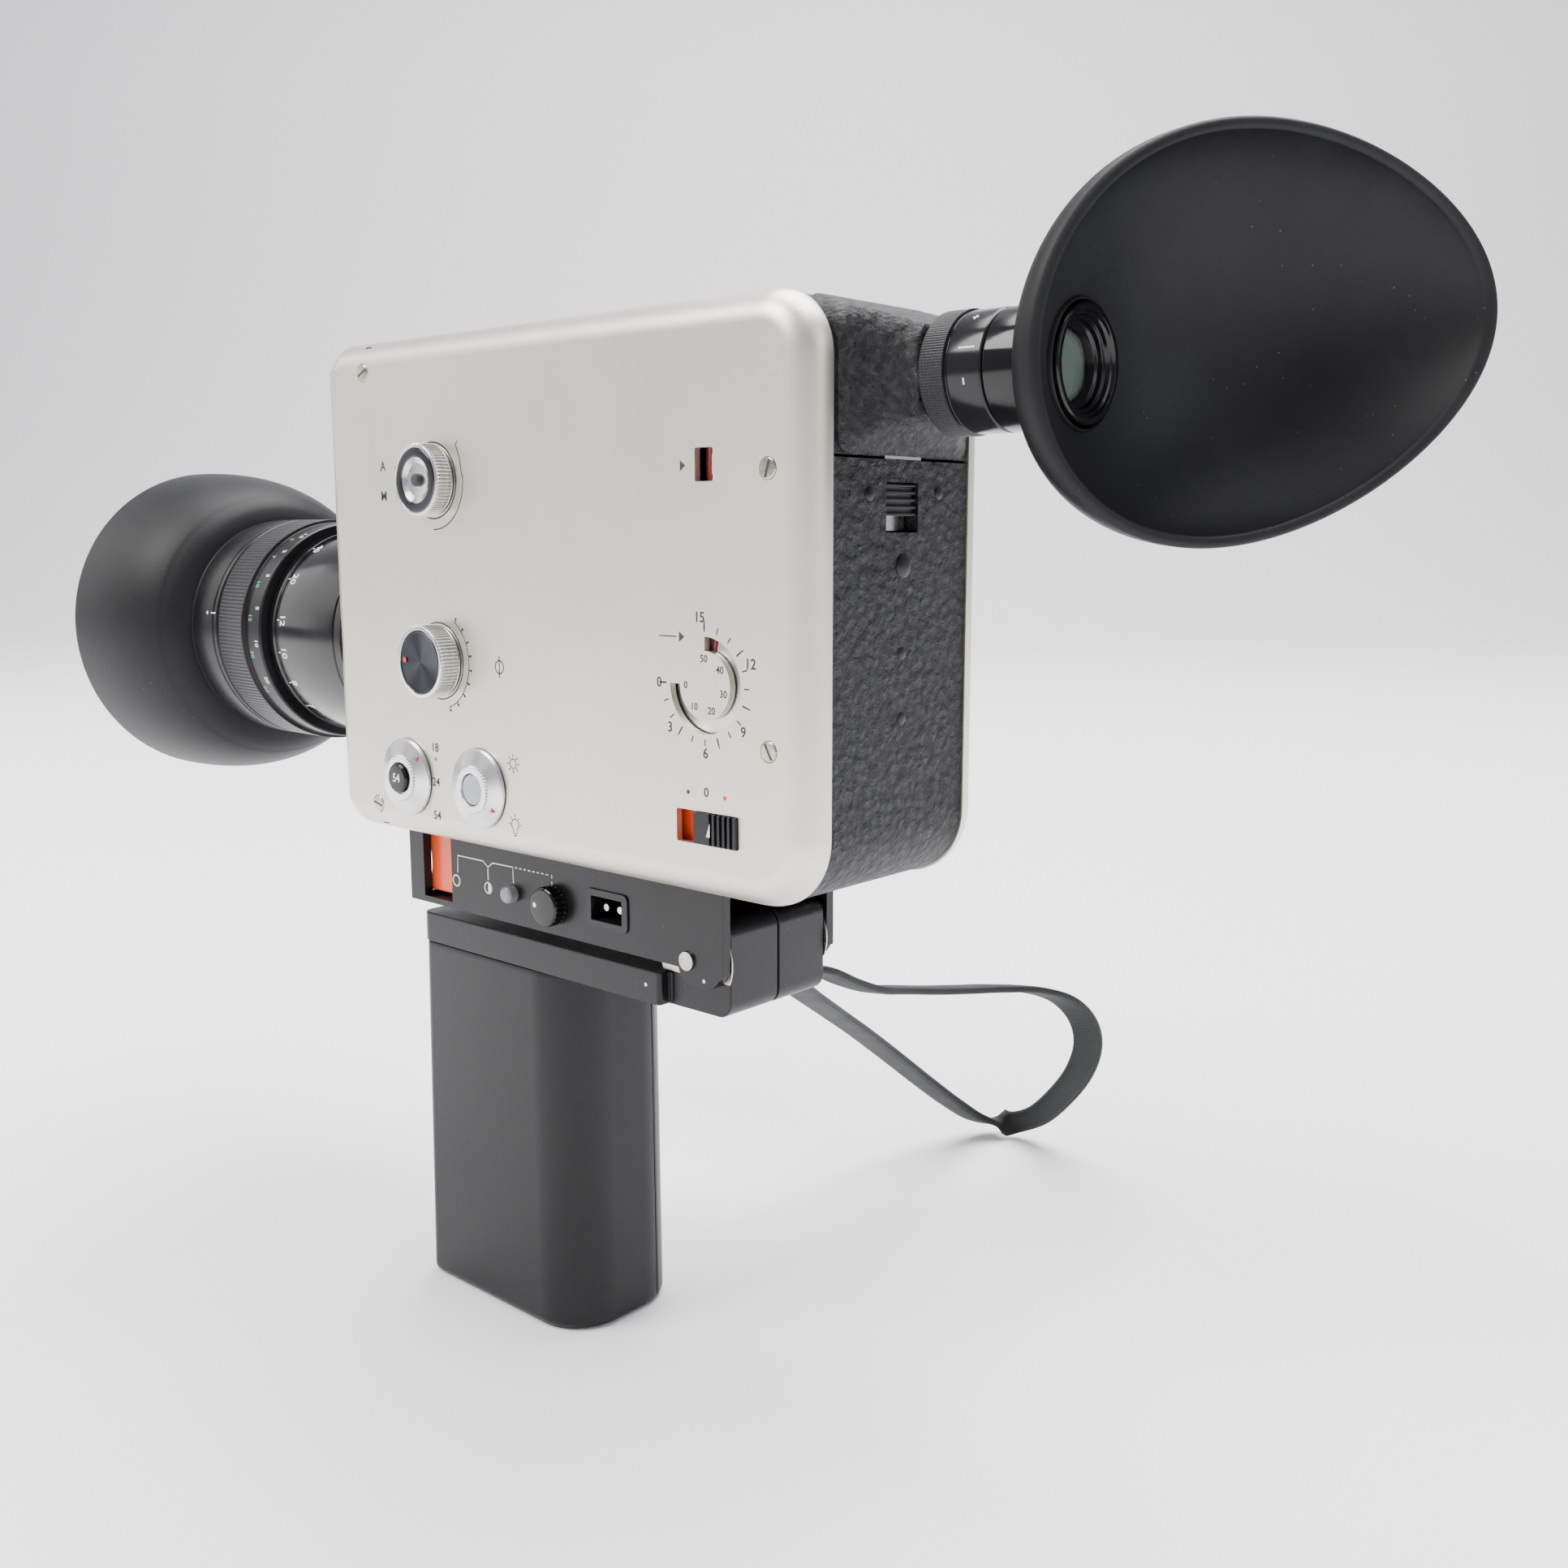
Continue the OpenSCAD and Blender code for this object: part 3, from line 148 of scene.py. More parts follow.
class CameraColours(bpy.types.PropertyGroup):
    """Colours of the finishes."""

    silver: shade("Silver", (0.70, 0.67, 0.585), "Anodised side covers")
    black: shade("Black", (0.0055, 0.0056, 0.0065), "Black enamel and plastic")
    grain: shade("Grained black", (0.009, 0.0092, 0.0105), "Grained body")
    rubber: shade("Rubber", (0.0075, 0.0076, 0.0085), "Hood and eyecup")
    orange: shade("Orange", (0.83, 0.075, 0.012), "Trigger and switch bed")
    ink: shade("Ink", (0.02, 0.02, 0.022), "Printed marks on the covers")
    strap: shade("Strap", (0.008, 0.0105, 0.0098), "Wrist strap")
    floor: shade("Floor", (0.93, 0.93, 0.945), "Studio floor")


def sizes():
    """The sizes that the panel shows."""
    return bpy.context.scene.cine_sizes


def colours():
    """The colours that the panel shows."""
    return bpy.context.scene.cine_colours


# ---- shader maths ----


class Wire:
    """A node's output that Python sums can use."""

    def __init__(self, paint, socket):
        self.paint, self.socket = paint, socket

    def math(self, operation, *others):
        """One Math node on this value and the others."""
        values = dict(enumerate([self, *others]))
        return self.paint.node("ShaderNodeMath", {"operation": operation}, values)

    def __add__(self, other):
        return self.math("ADD", other)

    __radd__ = __add__

    def __mul__(self, other):
        return self.math("MULTIPLY", other)

    __rmul__ = __mul__

    def __sub__(self, other):
        return self.math("SUBTRACT", other)

    def __rsub__(self, other):
        return self.paint.node("ShaderNodeMath", {"operation": "SUBTRACT"}, {0: other, 1: self})

    def __truediv__(self, other):
        return self.math("DIVIDE", other)

    def __pow__(self, other):
        return self.math("POWER", other)

    def step(self, low_edge, high_edge):
        """0 below low_edge, 1 above high_edge, smooth between."""
        return self.paint.node(
            "ShaderNodeMapRange",
            {"interpolation_type": "SMOOTHSTEP"},
            {"Value": self, "From Min": low_edge, "From Max": high_edge},
        )


class Paint:
    """A material built from a Principled shader, with Object coordinates in metres."""

    def __init__(self, name, **constants):
        self.material = bpy.data.materials.new(name)
        self.material.use_nodes = True
        self.tree = self.material.node_tree
        self.shader = next(n for n in self.tree.nodes if n.type == "BSDF_PRINCIPLED")
        for key, value in constants.items():
            if key == "Base_Color":
                value = (*value, 1.0)
            self.shader.inputs[key.replace("_", " ")].default_value = value
        self.place = self.node("ShaderNodeTexCoord", output="Object")

    def node(self, kind, settings=None, inputs=None, output=0):
        """Adds a node: its settings first, then the values or links of its sockets."""
        made = self.tree.nodes.new(kind)
        for key, value in (settings or {}).items():
            if key == "stops":
                ramp = made.color_ramp.elements
                while len(ramp) < len(value):
                    ramp.new(0.5)
                for stop, (at, tone) in zip(ramp, value):
                    stop.position, stop.color = at, (tone, tone, tone, 1)
            else:
                setattr(made, key, value)
        for key, value in (inputs or {}).items():
            if isinstance(value, Wire):
                self.tree.links.new(value.socket, made.inputs[key])
            else:
                made.inputs[key].default_value = value
        return Wire(self, made.outputs[output])

    def axis(self, k):
        """One of the three coordinates, in metres."""
        return self.node("ShaderNodeSeparateXYZ", inputs={0: self.place}, output=k)

    def shift(self, centre=(0, 0, 0), scale=(1, 1, 1)):
        """The place less a centre, times a scale for each axis."""
        return self.node(
            "ShaderNodeMapping", inputs={0: self.place, 1: tuple(-np.multiply(centre, scale)),
                                         3: scale}
        )

    def noise(self, scale, detail=2.0, rough=0.5, where=None, distortion=0.0):
        """Soft noise of 0 to 1."""
        return self.node(
            "ShaderNodeTexNoise",
            inputs={"Vector": where or self.place, "Scale": scale, "Detail": detail,
                    "Roughness": rough, "Distortion": distortion},
        )

    def cells(self, scale, feature="F1", where=None, output="Distance", randomness=1.0):
        """Distance to the nearest of many scattered points, or another output of that pattern."""
        return self.node(
            "ShaderNodeTexVoronoi", {"feature": feature},
            {"Vector": where or self.place, "Scale": scale, "Randomness": randomness}, output,
        )

    def angle(self, y, z, first=1, second=2):
        """Angle round an axis, in radians; by default round the X axis at y, z in metres."""
        return (self.axis(second) - z).math("ARCTAN2", self.axis(first) - y)

    def radius(self, a, b, first=0, second=2):
        """Distance from an axis; by default from the one along Y at x=a, z=b, in metres."""
        u, v = self.axis(first) - a, self.axis(second) - b
        return (u * u + v * v).math("SQRT")

    def blend(self, factor, one, two):
        """A colour that goes from one to two."""
        wrap = lambda c: c if isinstance(c, Wire) else (*c, 1.0)
        return self.node(
            "ShaderNodeMix", {"data_type": "RGBA"}, {0: factor, 6: wrap(one), 7: wrap(two)}, 2
        )

    def feed(self, socket, value):
        """Links a value to one of the shader's sockets."""
        self.tree.links.new(value.socket, self.shader.inputs[socket])
        return self

    def relief(self, height, distance, strength=1.0):
        """Bump from a height of 0 to 1 that stands for a distance in metres."""
        self.feed("Normal", self.node(
            "ShaderNodeBump", inputs={"Height": height, "Distance": distance,
                                      "Strength": strength}))
        return self


def varied(name, color, roughness, spread=0.06, mottle=0.12, scale=60.0, bump=0.0, bump_scale=900.0,
           **constants):
    """A finish whose tone and gloss vary a little, with a fine bump."""
    paint = Paint(name, Base_Color=color, Roughness=roughness, **constants)
    cloud = paint.noise(scale, 4.0, 0.6)
    light = tuple(min(1.0, c * (1 + mottle) + 0.002) for c in color)
    dark = toned(color, 1 - mottle)
    paint.feed("Base Color", paint.blend(cloud.step(0.3, 0.7), dark, light))
    fine = paint.noise(scale * 5, 3.0, 0.6)
    paint.feed("Roughness", (fine - 0.5) * spread * 2 + roughness)
    if bump:
        paint.relief(paint.noise(bump_scale, 3.0, 0.6), bump)
    return paint


PAINTS = {}


def toned(colour, factor):
    """A colour times a factor, at most white."""
    return tuple(min(1.0, c * factor) for c in colour)


def paint(name):
    """The material of that name, made when first asked for."""
    if name not in PAINTS:
        PAINTS[name] = FINISHES[name]()
    return PAINTS[name].material


def anodised():
    """Satin anodised aluminium with a very fine grain, soft blotches and a few hairline nicks."""
    base = tuple(colours().silver)
    p = Paint("anodised_silver", Metallic=1.0, Roughness=0.42, Base_Color=base)
    cloud = p.noise(22.0, 5.0, 0.62)
    tone = p.blend(cloud.step(0.32, 0.7), toned(base, 0.965), toned(base, 1.03))
    hair = p.shift(scale=(14.0, 1.0, 95.0))
    nick = p.noise(5.5, 2.0, 0.5, hair).step(0.775, 0.79)
    specks = p.cells(330.0).step(0.045, 0.03) * p.noise(70.0, 2.0).step(0.62, 0.66)
    wear = nick.math("MAXIMUM", specks)
    p.feed("Base Color", p.blend(wear * 0.45, tone, toned(base, 0.45)))
    p.feed("Roughness", p.noise(1500.0, 2.0, 0.6) * 0.10 + cloud * 0.08 + 0.33)
    return p.relief(p.noise(2600.0, 2.0, 0.7), 0.000018)


def polished():
    """Turned bright aluminium."""
    p = varied("turned_aluminium", (0.74, 0.74, 0.73), 0.2, 0.08, 0.05, 120.0, Metallic=1.0)
    return p.relief(p.noise(2200.0, 2.0), 0.00001)


def nickel():
    """Nickel plate with small stains."""
    return varied("nickel_plate", (0.47, 0.44, 0.37), 0.27, 0.1, 0.18, 500.0, 0.00002, 1500.0,
                  Metallic=1.0)


def brass():
    """Machined brass with faint blotches."""
    return varied("machined_brass", (0.72, 0.53, 0.24), 0.3, 0.08, 0.1, 200.0, Metallic=1.0)


def steel():
    """Bright steel with faint blotches."""
    return varied("bright_steel", (0.62, 0.63, 0.64), 0.28, 0.08, 0.08, 200.0, Metallic=1.0)


def grained():
    """Black wrinkle finish: rounded cells a millimetre or so across, under fine wrinkles, with painted shade in
    their hollows and painted highlight on their crests.
    """
    base = tuple(colours().grain)
    p = Paint("grained_black", Base_Color=base, Roughness=0.5, Specular_IOR_Level=0.3)
    drift = p.node("ShaderNodeTexNoise", inputs={"Vector": p.place, "Scale": 420.0}, output=1)
    push = p.node("ShaderNodeVectorMath", {"operation": "SCALE"}, {0: drift, "Scale": 0.0013})
    warp = p.node("ShaderNodeVectorMath", {"operation": "ADD"}, {0: p.place, 1: push})
    cell = p.cells(560.0, "SMOOTH_F1", warp)
    fold = p.noise(780.0, 4.0, 0.65, warp, 0.8)
    height = (1 - cell) * 0.55 + fold * 0.55
    # painted shade and highlight: darker where the relief is low, lighter where it is high
    p.feed("Base Color", p.blend(height.step(0.45, 0.8), toned(base, 0.55), toned(base, 1.7)))
    p.feed("Roughness", 0.62 - height * 0.24)
    return p.relief(height, 0.0011, 1.0)


def enamel():
    """Satin black paint with faint dust."""
    base = toned(colours().black, 0.8)
    p = Paint("black_enamel", Base_Color=base, Roughness=0.34, Specular_IOR_Level=0.3)
    dust = p.cells(900.0).step(0.16, 0.08) * p.noise(120.0, 2.0).step(0.5, 0.7)
    p.feed("Base Color", p.blend(dust * 0.5, base, (0.12, 0.12, 0.125)))
    p.feed("Roughness", p.noise(90.0, 4.0) * 0.14 + 0.25)
    return p.relief(p.noise(1400.0, 2.0), 0.00002)


def grip_plastic():
    """Black moulded plastic with a fine satin skin, polished by the hand."""
    base = tuple(colours().black)
    p = Paint("grip_plastic", Base_Color=base, Roughness=0.34, Specular_IOR_Level=0.28)
    hand = p.noise(16.0, 4.0, 0.6)
    p.feed("Base Color", p.blend(hand.step(0.35, 0.7), toned(base, 0.8), toned(base, 1.25)))
    p.feed("Roughness", hand * 0.16 + p.noise(900.0, 2.0) * 0.08 + 0.26)
    return p.relief(p.noise(1800.0, 3.0, 0.6), 0.000035)


def gloss():
    """Gloss black lacquer with faint fingermarks."""
    p = Paint("gloss_black", Base_Color=(0.004, 0.004, 0.0045), Roughness=0.14,
              Specular_IOR_Level=0.35)
    p.feed("Roughness", p.noise(70.0, 5.0, 0.65).step(0.35, 0.8) * 0.18 + 0.1)
    return p


def satin():
    """Satin black lacquer."""
    return varied("satin_black", (0.006, 0.006, 0.007), 0.3, 0.08, 0.2, 150.0, 0.00001, 1600.0,
                  Specular_IOR_Level=0.3)


def ringed(name, count, x0, x1, base=(0.006, 0.006, 0.007)):
    """Fine axial knurl round the lens between two stations, with painted highlight on its crests and painted shade
    in its grooves; smooth satin elsewhere.
    """
    p = Paint(name, Base_Color=base, Roughness=0.36, Specular_IOR_Level=0.3)
    turn = (p.angle(0.0, LENS_Z * MM) * count).math("SINE") * 0.5 + 0.5
    begun = p.axis(0).step(x0 * MM, x0 * MM + 0.0001)
    ended = p.axis(0).step(x1 * MM - 0.0001, x1 * MM)
    span = begun * (1 - ended)
    dirt = p.noise(300.0, 3.0)
    # painted highlight and shade: lighter on the knurl's crests, darker in its grooves
    p.feed("Base Color", p.blend(turn * span * 0.6, base, (0.05, 0.05, 0.052)))
    p.feed("Roughness", dirt * 0.12 + 0.3)
    return p.relief(turn * span, 0.00028)


def finder_knurl():
    """Fine diamond knurl on the grip of the diopter ring, with painted highlight on its teeth and painted shade
    between them.
    """
    p = Paint("diopter_knurl", Base_Color=(0.006, 0.006, 0.007), Roughness=0.25,
              Specular_IOR_Level=0.3)
    x0 = low("diopter_ring")[0] * MM
    turn = p.angle(0.0, FINDER_Z * MM) * 70
    slope = p.axis(0) * 7000.0
    tooth = (turn + slope).math("SINE") * (turn - slope).math("SINE") * 0.5 + 0.5
    span = 1 - p.axis(0).step(x0 + 0.0050, x0 + 0.0052)
    # painted highlight and shade: lighter on the knurl's teeth, darker between them
    p.feed("Base Color", p.blend(tooth * span * 0.7, (0.009, 0.009, 0.01), (0.05, 0.05, 0.052)))
    p.feed("Roughness", span * 0.2 + p.noise(90.0, 4.0) * 0.1 + 0.1)
    return p.relief(tooth * span, 0.00022)


def rubber():
    """Matte black rubber with scattered dust and faint handling marks."""
    base = tuple(colours().rubber)
    p = Paint("matte_rubber", Base_Color=base, Roughness=0.5, Specular_IOR_Level=0.2)
    blotch = p.noise(24.0, 5.0, 0.6)
    grey = tuple(c * 1.7 + 0.002 for c in base)
    tone = p.blend(blotch.step(0.35, 0.75), base, grey)
    dust = p.cells(420.0).step(0.075, 0.035) * p.noise(60.0, 2.0).step(0.45, 0.62)
    p.feed("Base Color", p.blend(dust * 0.5, tone, (0.16, 0.15, 0.135)))
    p.feed("Roughness", blotch * 0.16 + dust * 0.2 + 0.42)
    return p.relief(p.noise(1300.0, 3.0, 0.6), 0.00004)


def orange():
    """Orange moulded plastic with a thin gloss."""
    base = tuple(colours().orange)
    return varied("orange_plastic", base, 0.32, 0.08, 0.06, 200.0, 0.00001, 1300.0, Coat_Weight=0.2)


def drum_red():
    """Deep red plastic under a clear window."""
    return varied("drum_red", (0.14, 0.012, 0.01), 0.2, 0.05, 0.1, 400.0, Coat_Weight=0.6)


def glassy(name, tint, alpha):
    """Coated glass that shows the dark behind it."""
    p = Paint(name, Base_Color=tint, Roughness=0.03, Coat_Weight=1.0, Coat_Roughness=0.02,
              Alpha=alpha, Specular_IOR_Level=0.8)
    p.feed("Roughness", p.noise(40.0, 3.0).step(0.5, 0.9) * 0.05 + 0.02)
    return p


def webbing():
    """Flat braided band: fine ribs along it, a fine weave across, and paler worn patches."""
    base = tuple(colours().strap)
    p = Paint("strap_webbing", Base_Color=base, Roughness=0.6, Specular_IOR_Level=0.25)
    uv = p.node("ShaderNodeUVMap", {"uv_map": "band"})
    u = p.node("ShaderNodeSeparateXYZ", inputs={0: uv}, output=0)
    v = p.node("ShaderNodeSeparateXYZ", inputs={0: uv}, output=1)
    rib = (u * 6.2832 * 640).math("SINE") * 0.5 + 0.5
    cord = (v * 6.2832 * 14).math("SINE") * 0.5 + 0.5
    weave = rib * 0.55 + cord * 0.45
    worn = p.noise(130.0, 4.0)
    p.feed("Base Color", p.blend(weave * worn.step(0.3, 0.75), toned(base, 0.6), toned(base, 2.1)))
    p.feed("Roughness", worn * 0.2 + 0.48)
    return p.relief(weave, 0.00012)


def turned(name, at, base, roughness=0.24, metallic=1.0, rays=0.35, inner=None, inner_r=0.0,
           outer_r=1.0):
    """A face turned on a lathe: bright and dull rays that run out from its centre, painted into its colour as
    highlights that stand in for the spun face's reflections.
    Between inner_r and outer_r (metres) it has the colour inner instead."""
    p = Paint(name, Base_Color=base, Roughness=roughness, Metallic=metallic)
    angle = p.angle(at[0] * MM, at[1] * MM, 0, 2)
    # painted highlight: bright and dull rays by the angle round the centre stand in for the spun face's
    # reflections; rays sets how dark the dull ones are painted
    broad_highlight = ((angle * 2 + 0.7).math("SINE") * 0.5 + 0.5) * 0.6
    narrow_highlight = ((angle * 5 + 2.1).math("SINE") * 0.5 + 0.5) * 0.4
    ray = broad_highlight + narrow_highlight
    dark = toned(base, 1 - rays)
    tone = p.blend(ray, dark, base)
    if inner is not None:
        r = p.radius(at[0] * MM, at[1] * MM)
        band = r.step(inner_r, inner_r + 0.00008) * (1 - r.step(outer_r, outer_r + 0.00008))
        tone = p.blend(band, tone, inner)
    p.feed("Base Color", tone)
    p.feed("Roughness", roughness + ray * 0.1)
    rings = (p.radius(at[0] * MM, at[1] * MM) * 42000.0).math("SINE")
    return p.relief(rings * 0.5 + 0.5, 0.000006)


FINISHES = {
    "anodised": anodised,
    "polished": polished,
    "nickel": nickel,
    "brass": brass,
    "steel": steel,
    "grained": grained,
    "enamel": enamel,
    "grip": grip_plastic,
    "gloss": gloss,
    "satin": satin,
    "focus": lambda: ringed("focus_knurl", 190, low("focus_ring")[0] + 0.8,
                            low("focus_ring")[0] + 11.4),
    "finder": finder_knurl,
    "rubber": rubber,
    "orange": orange,
    "drum": drum_red,
    "lens": lambda: glassy("front_glass", (0.012, 0.014, 0.03), 0.92),
    "eyepiece": lambda: glassy("eyepiece_glass", (0.10, 0.13, 0.11), 0.95),
    "prism": lambda: glassy("prism_glass", (0.3, 0.4, 0.42), 0.5),
    "mirror": lambda: varied("mirror_silver", (0.85, 0.87, 0.88), 0.05, 0.02, 0.02, 100.0,
                             Metallic=1.0),
    "strap": webbing,
    "ink": lambda: varied("black_ink", tuple(colours().ink), 0.6, 0.06, 0.2, 900.0),
    "white": lambda: varied("white_ink", (0.72, 0.72, 0.70), 0.42, 0.06, 0.1, 900.0),
    "red": lambda: varied("red_ink", (0.55, 0.012, 0.015), 0.4, 0.06, 0.1, 900.0),
    "green": lambda: varied("green_ink", (0.09, 0.32, 0.2), 0.42, 0.06, 0.1, 900.0),
    "grey": lambda: varied("grey_pad", (0.36, 0.37, 0.38), 0.4, 0.08, 0.08, 500.0),
    "button": lambda: varied("grey_button", (0.17, 0.175, 0.18), 0.34, 0.08, 0.1, 500.0),
    "cell": lambda: varied("cell_wrap", (0.5, 0.4, 0.14), 0.3, 0.06, 0.1, 200.0, Metallic=0.6),
    "aperture_face": lambda: turned("aperture_face", axis_xz("aperture_turn"), (0.84, 0.84, 0.83),
                                    0.16, 1.0, 0.75, (0.055, 0.057, 0.062), 0.0047, 0.02),
    "shutter_face": lambda: turned("shutter_face", axis_xz("shutter_knob_turn"),
                                   (0.05, 0.055, 0.065), 0.2, 0.9, 0.75),
    "speed_face": lambda: turned("speed_face", axis_xz("speed_turn"), (0.86, 0.86, 0.85), 0.2, 1.0,
                                 0.45),
    "filter_face": lambda: turned("filter_face", axis_xz("filter_turn"), (0.86, 0.86, 0.85), 0.2,
                                  1.0, 0.45),
    "counter_floor": lambda: varied("counter_floor", (0.62, 0.62, 0.60), 0.36, 0.06, 0.06, 200.0,
                                    Metallic=1.0),
}


# ---- surfaces ----


def quads(rows, columns, wrap_rows=False, wrap_columns=True):
    """Corner numbers of the quads between the points of a rows x columns grid."""
    i = np.arange(rows if wrap_rows else rows - 1)[:, None]
    j = np.arange(columns if wrap_columns else columns - 1)[None, :]
    i1, j1 = (i + 1) % rows, (j + 1) % columns
    corner = [i * columns + j, i * columns + j1, i1 * columns + j1, i1 * columns + j]
    return np.stack([np.broadcast_to(c, (i.size, j.size)) for c in corner], -1).reshape(-1, 4)


def piece(name, node, finish, points, faces, replaces=True, sharp=38.0, uv=None, weld=True):
    """Makes an object from points in millimetres and rides it on the body of a CAD node."""
    mesh = bpy.data.meshes.new(name)
    mesh.from_pydata((np.asarray(points, float).reshape(-1, 3) * MM).tolist(), [],
                     np.asarray(faces).tolist())
    if uv is not None:
        layer = mesh.uv_layers.new(name="band")
        index = np.zeros(len(mesh.loops), int)
        mesh.loops.foreach_get("vertex_index", index)
        layer.data.foreach_set("uv", uv.reshape(-1, 2)[index].astype(np.float32).ravel())
    if weld:
        shape = bmesh.new()
        shape.from_mesh(mesh)
        bmesh.ops.remove_doubles(shape, verts=shape.verts, dist=1e-7)
        bmesh.ops.dissolve_degenerate(shape, edges=shape.edges, dist=1e-7)
        bmesh.ops.recalc_face_normals(shape, faces=shape.faces)
        shape.to_mesh(mesh)
        shape.free()
    obj = bpy.data.objects.new(name, mesh)
    bpy.context.scene.collection.objects.link(obj)
    return settle(obj, node, finish, replaces, sharp)


def settle(obj, node, finish, replaces=True, sharp=38.0):
    """Gives a piece its finish, its shading and the body it rides on."""
    obj.data.materials.clear()
    obj.data.materials.append(paint(finish))
    obj.data.shade_smooth()
    obj.data.set_sharp_from_angle(angle=math.radians(sharp))
    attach(obj, BODY_OF[node])
    if replaces:
        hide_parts(node)
    return obj


def bake(obj):
    """Applies a piece's modifiers."""
    graph = bpy.context.evaluated_depsgraph_get()
    mesh = bpy.data.meshes.new_from_object(obj.evaluated_get(graph))
    obj.modifiers.clear()
    obj.data = mesh
    obj.data.set_sharp_from_angle(angle=math.radians(38.0))
    return obj


def rounded(profile, radius, steps=3):
    """A polyline whose inner corners are short quadratic curves, each from radius before the
    corner to radius after it."""
    p = np.asarray(profile, float)
    out = [p[0]]
    for a, b, c in zip(p[:-2], p[1:-1], p[2:]):
        back, ahead = np.linalg.norm(a - b), np.linalg.norm(c - b)
        r = min(radius, back * 0.45, ahead * 0.45)
        start, stop = b + (a - b) * r / max(back, 1e-9), b + (c - b) * r / max(ahead, 1e-9)
        t = np.linspace(0, 1, steps + 1)[:, None]
        out.extend((1 - t) ** 2 * start + 2 * t * (1 - t) * b + t**2 * stop)
    out.append(p[-1])
    return np.array(out)


def lathe(name, node, finish, profile, about, replaces=True, edge=0.15, ring=False, flutes=None,
          segments=None):
    """A profile of (radius, along) turned about an axis.
    about is ("x", z) or ("x", z, y) for an axis along X, or ("y", x, z, y) for an axis that
    points to -Y from y. flutes is (count, depth, least radius): there r falls by depth times
    half of 1 + cos(count * angle)."""
    profile = rounded(profile, edge) if edge else np.asarray(profile, float)
    n = segments or sizes().segments
    turn = np.linspace(0, 2 * math.pi, n, endpoint=False)[None, :]
    r, along = profile[:, :1] + 0 * turn, profile[:, 1:] + 0 * turn
    if flutes:
        count, depth, least = flutes
        r = r - np.where(r >= least, depth * (0.5 + 0.5 * np.cos(count * turn)), 0)
    if about[0] == "x":
        y = about[2] if len(about) > 2 else 0.0
        points = np.stack([along, y + r * np.cos(turn), about[1] + r * np.sin(turn)], -1)
    else:
        points = np.stack([about[1] + r * np.cos(turn), about[3] - along,
                           about[2] + r * np.sin(turn)], -1)
    return piece(name, node, finish, points, quads(len(profile), n, ring), replaces)


def outline(x0, y0, x1, y1, radii, inset=0.0, steps=14):
    """Points round a rectangle with its own radius at each corner, counted from low x, low y."""
    a = np.linspace(0, math.pi / 2, steps)
    corners = [(x0, y0, 1, 1, math.pi), (x1, y0, -1, 1, 1.5 * math.pi), (x1, y1, -1, -1, 0.0),
               (x0, y1, 1, -1, 0.5 * math.pi)]
    points, normals = [], []
    for (x, y, sx, sy, start), r in zip(corners, radii):
        n = np.stack([np.cos(start + a), np.sin(start + a)], -1)
        points.append([x + sx * r, y + sy * r] + n * (r - inset))
        normals.append(n)
    return np.concatenate(points), np.concatenate(normals)


def to_side(points, y):
    """Points drawn in X and Z, set at y."""
    return np.stack([points[..., 0], np.broadcast_to(y, points[..., 0].shape), points[..., 1]], -1)


def soften(node, finish, width=None, segments=2, angle=50.0):
    """A copy of a CAD node with its sharp edges rounded."""
    mesh = NODES[node].data.copy()
    shape = bmesh.new()
    shape.from_mesh(mesh)
    bmesh.ops.remove_doubles(shape, verts=shape.verts, dist=2e-6)
    bmesh.ops.dissolve_limit(shape, angle_limit=math.radians(1.0), verts=shape.verts,
                             edges=shape.edges)
    shape.to_mesh(mesh)
    shape.free()
    obj = bpy.data.objects.new(node + ".soft", mesh)
    bpy.context.scene.collection.objects.link(obj)
    bevel = obj.modifiers.new("edge", "BEVEL")
    bevel.width = (width or sizes().edge) * MM
    bevel.segments = segments
    bevel.limit_method = "ANGLE"
    bevel.angle_limit = math.radians(angle)
    bevel.use_clamp_overlap = True
    bevel.harden_normals = True
    bake(obj)
    made = settle(obj, node, finish)
    even = made.modifiers.new("even", "WEIGHTED_NORMAL")
    even.keep_sharp = True
    return made


def cut(obj, cutters, operation="DIFFERENCE"):
    """Cuts solids out of a piece, then removes them."""
    for cutter in cutters:
        knife = obj.modifiers.new("cut", "BOOLEAN")
        knife.operation, knife.solver, knife.object = operation, "EXACT", cutter
    bake(obj)
    for cutter in cutters:
        bpy.data.objects.remove(cutter)
    return obj


def cutter(points, faces):
    """A closed solid for cutting, from points in millimetres."""
    mesh = bpy.data.meshes.new("cutter")
    mesh.from_pydata((np.asarray(points).reshape(-1, 3) * MM).tolist(), [],
                     [list(f) for f in faces])
    shape = bmesh.new()
    shape.from_mesh(mesh)
    bmesh.ops.remove_doubles(shape, verts=shape.verts, dist=1e-7)
    bmesh.ops.recalc_face_normals(shape, faces=shape.faces)
    shape.to_mesh(mesh)
    shape.free()
    obj = bpy.data.objects.new("cutter", mesh)
    bpy.context.scene.collection.objects.link(obj)
    return obj


def prism_cutter(loop, y0, y1):
    """A solid whose side view is a closed loop of (x, z) points, from y0 to y1."""
    loop = np.asarray(loop, float)
    n = len(loop)
    points = np.concatenate([to_side(loop, y0), to_side(loop, y1)])
    sides = quads(2, n)
    return cutter(points, [*sides.tolist(), list(range(n)), list(range(n, 2 * n))[::-1]])


def box_cutter(a, b):
    """A box for cutting, from its lowest corner a to its highest corner b."""
    x, z = (a[0], b[0]), (a[2], b[2])
    return prism_cutter([(x[0], z[0]), (x[1], z[0]), (x[1], z[1]), (x[0], z[1])], a[1], b[1])


# ---- printed marks ----


